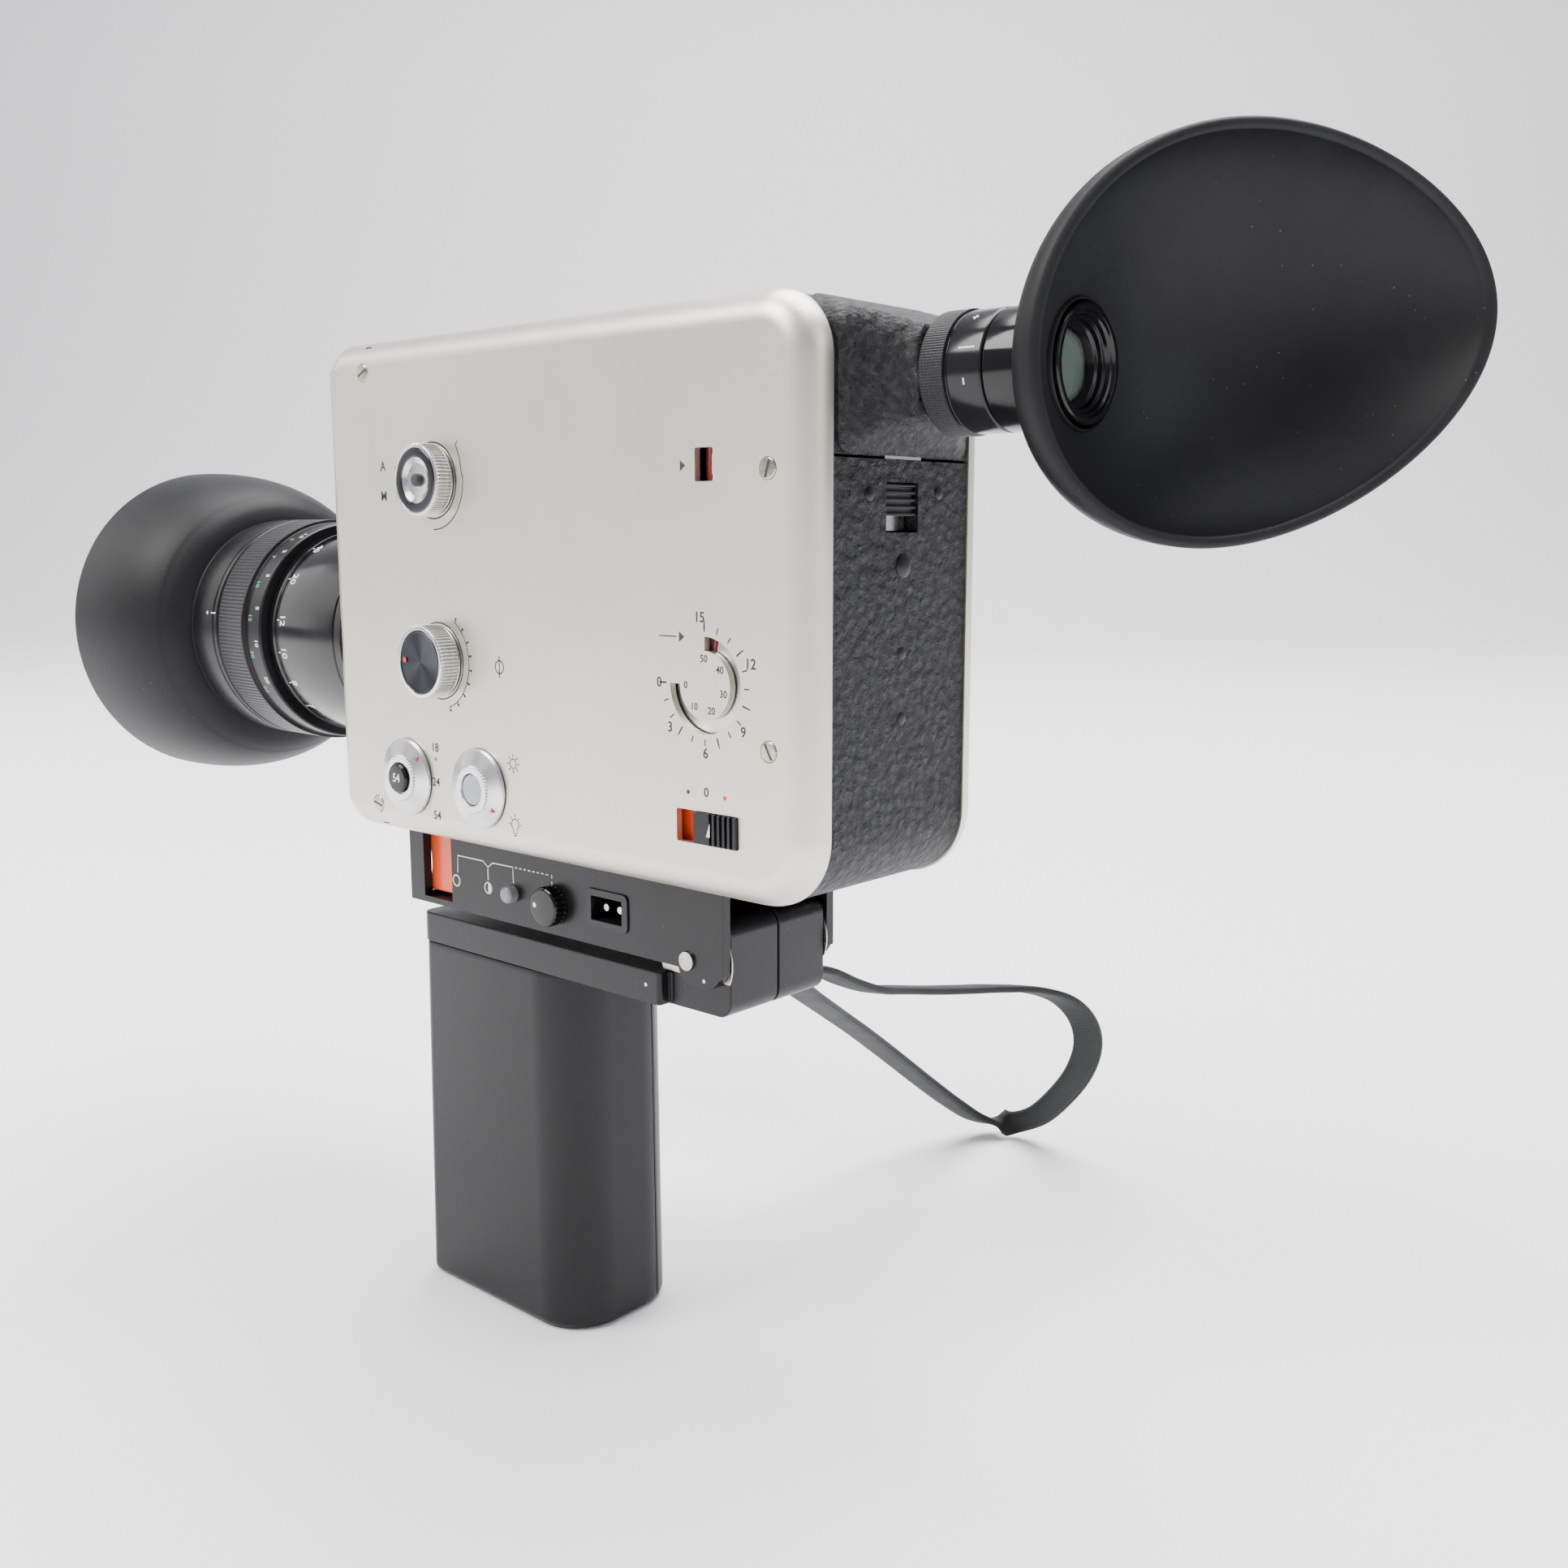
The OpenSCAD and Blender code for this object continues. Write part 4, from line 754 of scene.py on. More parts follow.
class Marks:
    """Printed marks that lie on one surface and share one finish.
    place turns flat (x, y) points into points on that surface."""

    def __init__(self, name, node, finish, place):
        self.name, self.node, self.finish, self.place = name, node, finish, place
        self.points, self.faces, self.count = [], [], 0

    def add(self, points, faces):
        """Flat points and the faces between them."""
        points = np.asarray(points, float)
        self.points.append(self.place(points))
        self.faces.extend([[self.count + int(k) for k in f] for f in faces])
        self.count += len(points)

    def line(self, path, width, closed=False):
        """A stroke of constant width along a path."""
        path = np.asarray(path, float)
        ahead = np.roll(path, -1, 0) - np.roll(path, 1, 0)
        if not closed:
            ahead[0], ahead[-1] = path[1] - path[0], path[-1] - path[-2]
        side = np.stack([-ahead[:, 1], ahead[:, 0]], -1)
        side /= np.linalg.norm(side, axis=1, keepdims=True) + 1e-12
        both = np.stack([path + side * width / 2, path - side * width / 2], 1)
        self.add(both.reshape(-1, 2), quads(len(path), 2, closed, False))

    def arc(self, centre, r, start, stop, width, steps=48):
        """Part of a circle, from start to stop in degrees."""
        a = np.radians(np.linspace(start, stop, steps))
        self.line(np.asarray(centre) + r * np.stack([np.cos(a), np.sin(a)], -1), width)

    def circle(self, centre, r, width):
        """A whole circle drawn as a stroke."""
        a = np.linspace(0, 2 * math.pi, 40, endpoint=False)
        self.line(np.asarray(centre) + r * np.stack([np.cos(a), np.sin(a)], -1), width, True)

    def dot(self, centre, r):
        """A filled circle."""
        a = np.linspace(0, 2 * math.pi, 28, endpoint=False)
        self.shape(np.asarray(centre) + r * np.stack([np.cos(a), np.sin(a)], -1))

    def shape(self, points):
        """A filled outline."""
        self.add(points, [list(range(len(points)))])

    def spokes(self, centre, r0, r1, angles, width):
        """Strokes that run outwards from r0 to r1 at each angle, in degrees."""
        for a in np.radians(np.atleast_1d(angles)):
            d = np.array([math.cos(a), math.sin(a)])
            self.line([np.asarray(centre) + d * r0, np.asarray(centre) + d * r1], width)

    def text(self, words, centre, size, turn=0.0):
        """Generic numbers or letters, centred, turned anticlockwise by turn degrees."""
        curve = bpy.data.curves.new("words", "FONT")
        curve.body, curve.size = words, size
        curve.align_x, curve.align_y = "CENTER", "CENTER"
        curve.resolution_u, curve.offset = 3, 0.018 * size
        obj = bpy.data.objects.new("words", curve)
        bpy.context.scene.collection.objects.link(obj)
        bpy.context.view_layer.update()
        graph = bpy.context.evaluated_depsgraph_get()
        mesh = bpy.data.meshes.new_from_object(obj.evaluated_get(graph))
        flat = np.zeros(len(mesh.vertices) * 3)
        mesh.vertices.foreach_get("co", flat)
        flat = flat.reshape(-1, 3)[:, :2]
        a = math.radians(turn)
        flat = flat @ np.array([[math.cos(a), math.sin(a)], [-math.sin(a), math.cos(a)]])
        self.add(flat + np.asarray(centre), [list(p.vertices) for p in mesh.polygons])
        bpy.data.objects.remove(obj)
        bpy.data.meshes.remove(mesh)
        bpy.data.curves.remove(curve)

    def done(self):
        """Makes one object of all the marks."""
        mesh = bpy.data.meshes.new(self.name)
        mesh.from_pydata((np.concatenate(self.points) * MM).tolist(), [], self.faces)
        mesh.validate()
        made = bpy.data.objects.new(self.name, mesh)
        bpy.context.scene.collection.objects.link(made)
        return settle(made, self.node, self.finish, False)


def on_side(y, lift=0.03):
    """Marks that lie on a face that looks to -Y."""
    return lambda p: to_side(p, y - lift)


def on_ring(r, z, lift=0.03):
    """Marks wrapped round an axis along X at height z: x runs along it, and y is the arc
    length from the -Y side upwards, so the angle is y over r."""
    def place(p):
        a = p[:, 1] / r
        return np.stack([p[:, 0], -(r + lift) * np.cos(a), z + (r + lift) * np.sin(a)], -1)
    return place


# ---- shared shapes ----

CORNERS = (6.5, 14.0, 12.0,
           6.5)      # corner radii of the body, from front bottom, going by the rear
SCREWS = ((-26.6, 214.9), (93.4, 191.2), (93.5, 141.7), (-27.3, 118.4))
SEAM_Z = high("film_door")[2]         # top edge of the film door
GRIP = (low("grip_shell"), high("grip_cover"))


def side_knob(joint):
    """The axis of a control on the left cover, pointing out of it."""
    x, z = axis_xz(joint)
    return ("y", x, z, PLATE_Y)


class Maker(bpy.types.Operator):
    """Base of the operators: each adds its pieces, on the bodies they ride on, to the scene"""

    bl_options = {"REGISTER", "UNDO"}


class CINE_OT_stage(Maker):
    """Pale floor that curves up into a backdrop, soft lights and the camera"""

    bl_idname = "cine.stage"
    bl_label = "Stage"

    def execute(self, context):
        forward = Vector((*CAMERA_AIM[:2], 0.0)).normalized()
        side = Vector((forward.y, -forward.x, 0.0))
        # profile of the sweep: flat floor, quarter of a circle, upright wall
        bend = np.linspace(0, math.pi / 2, 24)
        run = np.concatenate([[-3.0, 0.0], 2.2 + 1.2 * np.sin(bend), [3.4]])
        rise = np.concatenate([[0.0, 0.0], 1.2 - 1.2 * np.cos(bend), [6.0]])
        width = np.array([-6.0, 6.0])
        grid = (run[:, None, None] * np.array(forward)[None, None] + width[None, :, None]
                * np.array(side)[None, None])
        grid = grid + rise[:, None, None] * np.array([0, 0, 1.0])
        mesh = bpy.data.meshes.new("floor")
        mesh.from_pydata(grid.reshape(-1, 3).tolist(), [],
                         quads(len(run), 2, False, False).tolist())
        mesh.shade_smooth()
        floor = bpy.data.objects.new("floor", mesh)
        bpy.context.scene.collection.objects.link(floor)
        p = Paint("studio_floor", Base_Color=tuple(colours().floor), Roughness=0.75,
                  Specular_IOR_Level=0.2)
        p.feed("Roughness", p.noise(6.0, 2.0) * 0.1 + 0.7)
        mesh.materials.append(p.material)

        world = bpy.data.worlds.new("studio")
        bpy.context.scene.world = world
        world.use_nodes = True
        back = world.node_tree.nodes["Background"]
        back.inputs[0].default_value = (0.93, 0.94, 1.0, 1)
        back.inputs[1].default_value = 0.5
        for name, place, aim, size, power, tint in LAMPS:
            lamp = bpy.data.lights.new(name, "AREA")
            lamp.size, lamp.energy, lamp.color = size, power, tint
            obj = bpy.data.objects.new(name, lamp)
            obj.location = place
            obj.rotation_euler = (Vector(aim) - Vector(place)).to_track_quat("-Z", "Y").to_euler()
            bpy.context.scene.collection.objects.link(obj)

        lens = bpy.data.cameras.new("view")
        lens.lens, lens.sensor_width, lens.clip_start = FOCAL_LENGTH, SENSOR_WIDTH, 0.01
        camera = bpy.data.objects.new("view", lens)
        camera.location = CAMERA_PLACE
        camera.rotation_euler = Vector(CAMERA_AIM).to_track_quat("-Z", "Y").to_euler()
        bpy.context.scene.collection.objects.link(camera)
        bpy.context.scene.camera = camera
        return {"FINISHED"}


STRAP_ROUTE = np.array([
    [67, 14.3, 88.4], [67, 21, 86], [66, 30, 81.5], [65, 41, 77], [63, 54, 73.5], [62, 68, 70],
    [62, 82, 67],
    [63, 95, 64.5], [66, 107, 62], [69, 118, 57.5], [70, 127, 50], [68, 134, 40.5], [62, 140, 29.5],
    [53, 145, 18.5], [43, 148.5, 9], [33, 148, 4.6], [27, 141.5, 6.5], [25, 131, 13.8],
    [25, 117, 24],
    [27, 102, 34.5], [30, 87, 44.5], [35, 72, 53.5], [40, 58, 61.5], [46, 45, 68.5], [52, 32, 75.5],
    [58, 21, 81.5], [61, 14.3, 85.6]], float)


def smooth_path(route, per_leg=8):
    """Catmull-Rom curve through a route's points."""
    p = np.concatenate([[2 * route[0] - route[1]], route, [2 * route[-1] - route[-2]]])
    t = (np.arange(per_leg) / per_leg)[None, :, None]
    a, b, c, d = (p[k:len(p) - 3 + k, None, :] for k in range(4))
    curve = 0.5 * (2 * b + (c - a) * t + (2 * a - 5 * b + 4 * c - d) * t**2
                   + (3 * b - a - 3 * c + d) * t**3)
    return np.concatenate([curve.reshape(-1, 3), route[-1:]])


class CINE_OT_strap(Maker):
    """Wrist strap: a flat woven band with rounded, stitched edges, carried along its route"""

    bl_idname = "cine.strap"
    bl_label = "Wrist strap"

    def execute(self, context):
        path = smooth_path(STRAP_ROUTE)
        ahead = np.gradient(path, axis=0)
        ahead[0], ahead[-1] = (0, 1, 0), (0, -1, 0)
        ahead /= np.linalg.norm(ahead, axis=1, keepdims=True)
        across = np.array([0.93, 0.37, 0.0])
        wide = across - (ahead @ across)[:, None] * ahead
        # where the path runs along that direction the band turns over gently:
        # each side vector is averaged with its neighbours
        bell = np.exp(-np.linspace(-2, 2, 49) ** 2)
        padded = np.pad(wide, ((24, 24), (0, 0)), mode="edge")
        wide = np.stack([np.convolve(padded[:, k], bell / bell.sum(), "valid") for k in range(3)],
                        -1)
        wide -= np.sum(wide * ahead, 1, keepdims=True) * ahead
        wide /= np.linalg.norm(wide, axis=1, keepdims=True)
        thick = np.cross(ahead, wide)
        # section: a flat band with semicircular edges and a slight rib beside each edge
        w, t = sizes().strap_width / 2, sizes().strap_thick / 2
        a = np.linspace(0, 2 * math.pi, 40, endpoint=False)
        u = w * np.sign(np.cos(a)) * np.abs(np.cos(a)) ** 0.38
        h = t * np.sign(np.sin(a)) * np.abs(np.sin(a)) ** 0.62
        h = h * (1 - 0.14 * np.exp(-((np.abs(u) / w - 0.78) / 0.07) ** 2))
        points = path[:, None] + u[None, :, None] * wide[:, None] + h[None, :, None] * thick[:,
            None]
        points[..., 2] = np.maximum(points[..., 2], 0.05)
        run = np.concatenate([[0], np.cumsum(np.linalg.norm(np.diff(path, axis=0), axis=1))])
        uv = np.stack([np.repeat(run[:, None] / run[-1], len(a), 1),
                       np.repeat((u / w * 0.5 + 0.5)[None], len(path), 0)], -1)
        n = len(a)
        ends = [list(range(n)), list(range((len(path) - 1) * n, len(path) * n))[::-1]]
        band = piece("wrist_strap_band", "wrist_strap", "strap", points, quads(len(path), n), uv=uv,
                     weld=False)
        shape = bmesh.new()
        shape.from_mesh(band.data)
        shape.verts.ensure_lookup_table()
        for loop in ends:
            shape.faces.new([shape.verts[k] for k in loop])
        bmesh.ops.recalc_face_normals(shape, faces=shape.faces)
        shape.to_mesh(band.data)
        shape.free()
        band.data.shade_smooth()
        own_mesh(band)
        return {"FINISHED"}


def cover_shell(node, side):
    """Rolled cover: the body's outline moved inwards by a quarter circle as it rises.
    At the front the quarter circle gives way to a flat bevelled band."""
    s = sizes()
    depth = high("left_cover")[1] - low("left_cover")[1]
    loop, normals = outline(BODY0[0], BODY0[2], BODY1[0], BODY1[2], CORNERS)
    t = (1 - np.cos(np.linspace(0, math.pi, 14))) / 2
    roll_in = s.roll * (1 - np.cos(t * math.pi / 2))
    roll_up = depth - s.roll + s.roll * np.sin(t * math.pi / 2)
    band_in, band_up = s.front_band * t, depth - 1.7 * (1 - t)
    front = np.clip(-normals[:, 0], 0, 1)[None, :] ** 8
    first = [0 * front[0]]
    inset = np.concatenate([first, roll_in[:, None] * (1 - front) + band_in[:, None] * front])
    rise = np.concatenate([first, roll_up[:, None] * (1 - front) + band_up[:, None] * front])
    edge = inset[-1] + 0.35
    inset, rise = np.concatenate([inset, [edge]]), np.concatenate([rise, [0 * edge + depth]])
    rings = loop[None] - normals[None] * inset[..., None]
    centre = rings[-1].mean(0)
    core = centre + (rings[-1] - centre)[None] * np.array([0.6, 0.0])[:, None, None]
    flat = np.concatenate([rings, core])
    rise = np.concatenate([rise, np.full((2, len(loop)), depth)])
    y = side * (rise - PLATE_Y - depth)
    shell = piece(node + "_shell", node, "anodised", to_side(flat, y), quads(len(flat), len(loop)),
                  sharp=20.0)
    up = sum(p.normal.y * p.area for p in shell.data.polygons)
    if up * side < 0:
        shell.data.flip_normals()
    wall = shell.modifiers.new("wall", "SOLIDIFY")
    wall.thickness, wall.offset = 1.4 * MM, -1.0
    return shell


def disc(at, r, steps=40):
    """Points round a circle: the centre plus r times the cosine and sine of the angle."""
    a = np.linspace(0, 2 * math.pi, steps, endpoint=False)
    return np.asarray(at) + r * np.stack([np.cos(a), np.sin(a)], -1)


class CINE_OT_covers(Maker):
    """Two rolled side covers with their slots, the window, the screws and their seats"""

    bl_idname = "cine.covers"
    bl_label = "Side covers"

    def execute(self, context):
        left, right = cover_shell("left_cover", -1), cover_shell("right_cover", 1)
        counter, window, switch = axis_xz("counter_turn"), axis_xz("run_spin"), self.switch_centre()
        a = np.radians(np.linspace(180, 450, 70))
        ray = np.stack([np.cos(a), np.sin(a)], -1)
        slot = np.concatenate([counter + COUNTER_SLOT[1] * ray,
                               (counter + COUNTER_SLOT[0] * ray)[::-1]])
        rect = lambda c, w, h, r: outline(c[0] - w / 2, c[1] - h / 2, c[0] + w / 2, c[1] + h / 2,
                                          (r,) * 4, steps=4)[0]
        holes = [slot, rect(window, 4.5, 6.0, 0.35), rect(switch, 15.9, 6.3, 0.4)]
        y = (PLATE_Y - 1, PLATE_Y + 2.4)
        seats = [prism_cutter(disc(at, SEAT_R), PLATE_Y - 1, PLATE_Y + SEAT_DEPTH) for at in SCREWS]
        cut(left, [prism_cutter(h, *y) for h in holes] + seats)
        cut(right, [prism_cutter(disc(at, SEAT_R), -PLATE_Y - SEAT_DEPTH, -PLATE_Y + 1)
                    for at in SCREWS])
        for obj, node in ((left, "left_cover"), (right, "right_cover")):
            settle(obj, node, "anodised", sharp=20.0)
        self.screws()
        return {"FINISHED"}

    def screws(self):
        """Slotted heads a fifth of a millimetre proud of the covers; each slot is a dark stroke of painted shade,
        with no groove cut.
        """
        for name, y, out in (("left", PLATE_Y, 1), ("right", -PLATE_Y, -1)):
            face = y - 0.23 * out
            # painted shade: the black ink strokes stand for the shaded grooves of the slots
            slots = Marks(f"screw_slot_shade_{name}", f"{name}_cover", "ink",
                          lambda p, face=face: to_side(p, face))
            for k, (x, z) in enumerate(SCREWS):
                head = [(0, -0.6 * out), (1.9, -0.6 * out), (1.9, 0.03 * out), (1.7, 0.17 * out),
                        (0, 0.2 * out)]
                lathe(f"screw_{name}_{k}", "cover_screws", "nickel", head, ("y", x, z, y),
                      edge=0.03, segments=40)
                a = math.radians(25 + 47 * k)
                d = 1.65 * np.array([math.cos(a), math.sin(a)])
                slots.line([(x, z) - d, (x, z) + d], 0.42)
            slots.done()

    @staticmethod
    def switch_centre():
        """Middle of the main switch's bed, in the side view."""
        return np.array([(low("switch_bed")[0] + high("switch_bed")[0]) / 2,
                         (low("switch_bed")[2] + high("switch_bed")[2]) / 2])


def settle_node(node, finish):
    """Gives a CAD node a finish."""
    data = NODES[node].data
    data.materials.clear()
    data.materials.append(paint(finish))
    for p in NODES[node].material_slots:
        p.material = paint(finish)


class CINE_OT_body(Maker):
    """Grained centre frame and film door, the latch, the studs and the finder's flared housing"""

    bl_idname = "cine.body"
    bl_label = "Body"

    def execute(self, context):
        for node in ("centre_frame", "film_door"):
            settle_node(node, "grained")
        rear = high("film_door")[0]
        for k, (y, z, r, rise) in enumerate(STUDS):
            t = np.linspace(0, math.pi / 2, 8)
            profile = np.concatenate([[(0, rear - 0.3), (r, rear - 0.3)],
                                      np.stack([r * np.cos(t), rear + rise * np.sin(t)], -1)[1:]])
            lathe(f"door_stud_{k}", "film_door", "satin", profile, ("x", z, y), False, 0.0,
                  segments=40)
        soften("door_latch", "satin", 0.15)
        pocket = Marks("latch_floor", "film_door", "polished",
                       lambda p: np.stack([0 * p[:, 0] + rear - 2.9, p[:, 0], p[:, 1]], -1))
        pocket.shape([(-4.4, SEAM_Z - 12.6), (4.4, SEAM_Z - 12.6), (4.4, SEAM_Z - 8.0),
                      (-4.4, SEAM_Z - 8.0)])
        pocket.done()
        strip = Marks("seam_strip", "centre_frame", "polished",
                      lambda p: np.stack([0 * p[:, 0] + rear + 0.03, p[:, 0], p[:, 1]], -1))
        strip.shape([(-5.4, SEAM_Z + 0.12), (5.4, SEAM_Z + 0.12), (5.4, SEAM_Z + 0.75),
                     (-5.4, SEAM_Z + 0.75)])
        strip.done()
        self.housing()
        return {"FINISHED"}

    def housing(self):
        """Loft from the body's rear to the barrel: its top runs straight, while its sides and
        lower edge draw in early, by one less a power of the way left."""
        x0, x1 = low("viewfinder_housing")[0], high("viewfinder_housing")[0]
        half = high("viewfinder_housing")[1]
        tube_r, top = 11.4, 221.5
        base, _ = outline(-half, SEAM_Z + 0.6, half, top, (3, 3, 5, 5), steps=16)
        about = base - [0, FINDER_Z]
        reach = about / np.linalg.norm(about, axis=1, keepdims=True) * tube_r + [0, FINDER_Z]
        t = np.linspace(0, 1, 30)[:, None]
        body_end = 1 - (x1 - BODY1[0]) / (x1 - x0)
        s = np.clip((t - body_end) / (1 - body_end), 0, 1)
        ease = 1 - (1 - s) ** 2.1
        y = base[:, 0] * (1 - ease) + reach[:, 0] * ease
        up = about[:, 1] > 0
        z_top = base[:, 1] * (1 - t) + reach[:, 1] * t
        z_low = base[:, 1] * (1 - ease) + reach[:, 1] * ease
        z = np.where(up, z_top, z_low)
        x = x0 + (x1 - x0) * t + 0 * y
        rows = np.stack([x, y, z], -1)
        lip = np.repeat(rows[-1:], 3, 0)
        centre = np.array([0, FINDER_Z])
        for k, share in enumerate((0.985, 0.94, 0.7)):
            lip[k, :, 1:] = centre + (lip[k, :, 1:] - centre) * share
            lip[k, :, 0] += (0.12, 0.2, 0.2)[k]
        rows = np.concatenate([rows, lip])
        piece("viewfinder_flare", "viewfinder_housing", "grained", rows,
              quads(len(rows), len(base)), sharp=50.0)


class CINE_OT_finder(Maker):
    """Diopter ring, eyepiece sleeve, eyepiece and the large egg-shaped eyecup"""

    bl_idname = "cine.finder"
    bl_label = "Finder"

    def execute(self, context):
        ring0, ring1 = low("diopter_ring")[0], high("diopter_ring")[0]
        z = FINDER_Z
        lathe("diopter_grip", "diopter_ring", "finder", [
            (7.6, ring0), (10.5, ring0), (10.75, ring0 + 0.4), (10.75, ring0 + 5.2),
            (10.2, ring0 + 5.35), (10.2, ring0 + 5.7), (DIOPTER_R, ring0 + 5.9),
            (DIOPTER_R, ring1 - 0.3), (10.2, ring1), (7.6, ring1)], ("x", z), edge=0.12, ring=True)
        scale = Marks("diopter_scale", "diopter_ring", "white", on_ring(DIOPTER_R, z))
        arc = lambda degrees: math.radians(degrees) * DIOPTER_R
        scale.line([(122.2, arc(50)), (122.2, arc(57))], 0.3)
        scale.line([(121.6, arc(53.5)), (122.8, arc(53.5))], 0.3)
        scale.line([(121.3, arc(17.5)), (124.6, arc(17.5))], 0.3)
        scale.line([(122.6, arc(-10)), (122.6, arc(-16))], 0.3)
        scale.done()
        s0, s1 = low("eyepiece_sleeve")[0], high("eyepiece_sleeve")[0]
        lathe("eyepiece_tube", "eyepiece_sleeve", "gloss", [
            (7.55, s0), (10.3, s0), (10.4, s0 + 0.2), (10.4, s0 + 7.0), (10.15, s0 + 7.2),
            (9.85, s0 + 8.0), (9.8, s1 - 0.3), (9.5, s1), (8.6, s1), (8.4, s1 - 0.6),
            (8.0, s1 - 0.8), (7.8, s1 - 1.6), (7.2, s1 - 1.7), (7.0, s1 - 2.6), (6.3, s1 - 2.8),
            (6.2, s1 - 4.6), (5.6, s1 - 4.8), (5.6, s0 + 6), (7.55, s0 + 6)],
            ("x", z), edge=0.12, ring=True)
        r = 6.2
        t = np.linspace(0, 1, 12)
        x1 = high("eyepiece_lens")[0] - 0.4
        dome = np.stack([r * np.sin(t * math.pi / 2), x1 - 1.3 * (1 - np.cos(t * math.pi / 2))], -1)
        lathe("eyepiece_glass", "eyepiece_lens", "eyepiece",
              np.concatenate([dome, [(r, x1 - 3), (0, x1 - 3)]]),
              ("x", z), edge=0.0, segments=72)
        self.cup()
        return {"FINISHED"}

    def cup(self):
        """Bowl between a round root and an egg-shaped rim. A point goes from root to rim as the
        sine of a quarter turn across the axis, and by straight and eased steps along it."""
        n = 176
        a = np.linspace(0, 2 * math.pi, n, endpoint=False)[None, :]
        z0 = FINDER_Z
        nose = high("eyepiece_sleeve")[0] - 2.0
        wall = 1.9

        half_long, half_tall, offset = 40.8, 33.2, 39.2

        def rim(shrink):
            """Egg: an ellipse whose height falls off towards its rear end, tilted up a little."""
            along = half_long * np.cos(a) * (1 - shrink / half_long) + offset
            oval = (half_tall - shrink) * np.sin(a) * (1 - 0.16 * np.cos(a))
            up = oval + 3.5 * np.cos(a) + 4.5
            return np.stack([nose + 0.5 + 0.611 * along, -14 + 0.792 * along, z0 + up], -1)

        def sweep(t, shrink, root_r, root_x, power):
            """Skin from the round root to the rim, for t from 0 to 1."""
            t = t[:, None]
            s = t * t * (3 - 2 * t)
            swell = np.sin(math.pi / 2 * t**power)
            end = rim(shrink)
            x = root_x + (end[..., 0] - root_x) * (0.35 * s + 0.65 * t)
            y = root_r * np.cos(a) + (end[..., 1] - root_r * np.cos(a)) * swell
            z = z0 + root_r * np.sin(a) + (end[..., 2] - z0 - root_r * np.sin(a)) * swell
            return np.stack([x, y, z], -1)

        t = np.linspace(0, 1, 44)
        outer = sweep(t, 0.0, 12.1, nose - 5.0, 0.75)
        inner = sweep(t, wall, 10.9, nose + 0.6, 0.74)[::-1]
        # lip: half a turn from the outer skin to the inner one, a little proud of both
        out_end, in_end = outer[-1], inner[0]
        across = out_end - in_end
        ahead = out_end - outer[-3]
        ahead /= np.linalg.norm(ahead, axis=1, keepdims=True)
        turn = np.linspace(0, math.pi, 12)[1:-1, None, None]
        mid, half = (out_end + in_end) / 2, np.linalg.norm(across, axis=1, keepdims=True) / 2
        lip = mid + across / 2 * np.cos(turn) * 1.12 + ahead * half * np.sin(turn) * 1.25
        # collar: a rolled bead round the eyepiece, then down to the sleeve
        bead = np.linspace(0, 1, 14)
        bead_r = 10.9 - 1.0 * bead
        bead_x = nose + 0.6 + 1.5 * np.sin(bead * math.pi) ** 0.8 - 1.6 * bead
        collar = np.stack([bead_x[:, None] + 0 * a, bead_r[:, None] * np.cos(a),
                           z0 + bead_r[:, None] * np.sin(a)], -1)[1:]
        back = np.stack([nose - 5.0 + 0 * a, 10.5 * np.cos(a), z0 + 10.5 * np.sin(a)], -1)
        rows = np.concatenate([back, outer, lip, inner, collar])
        piece("eyecup_bowl", "eyecup", "rubber", rows, quads(len(rows), n, True), sharp=70.0)


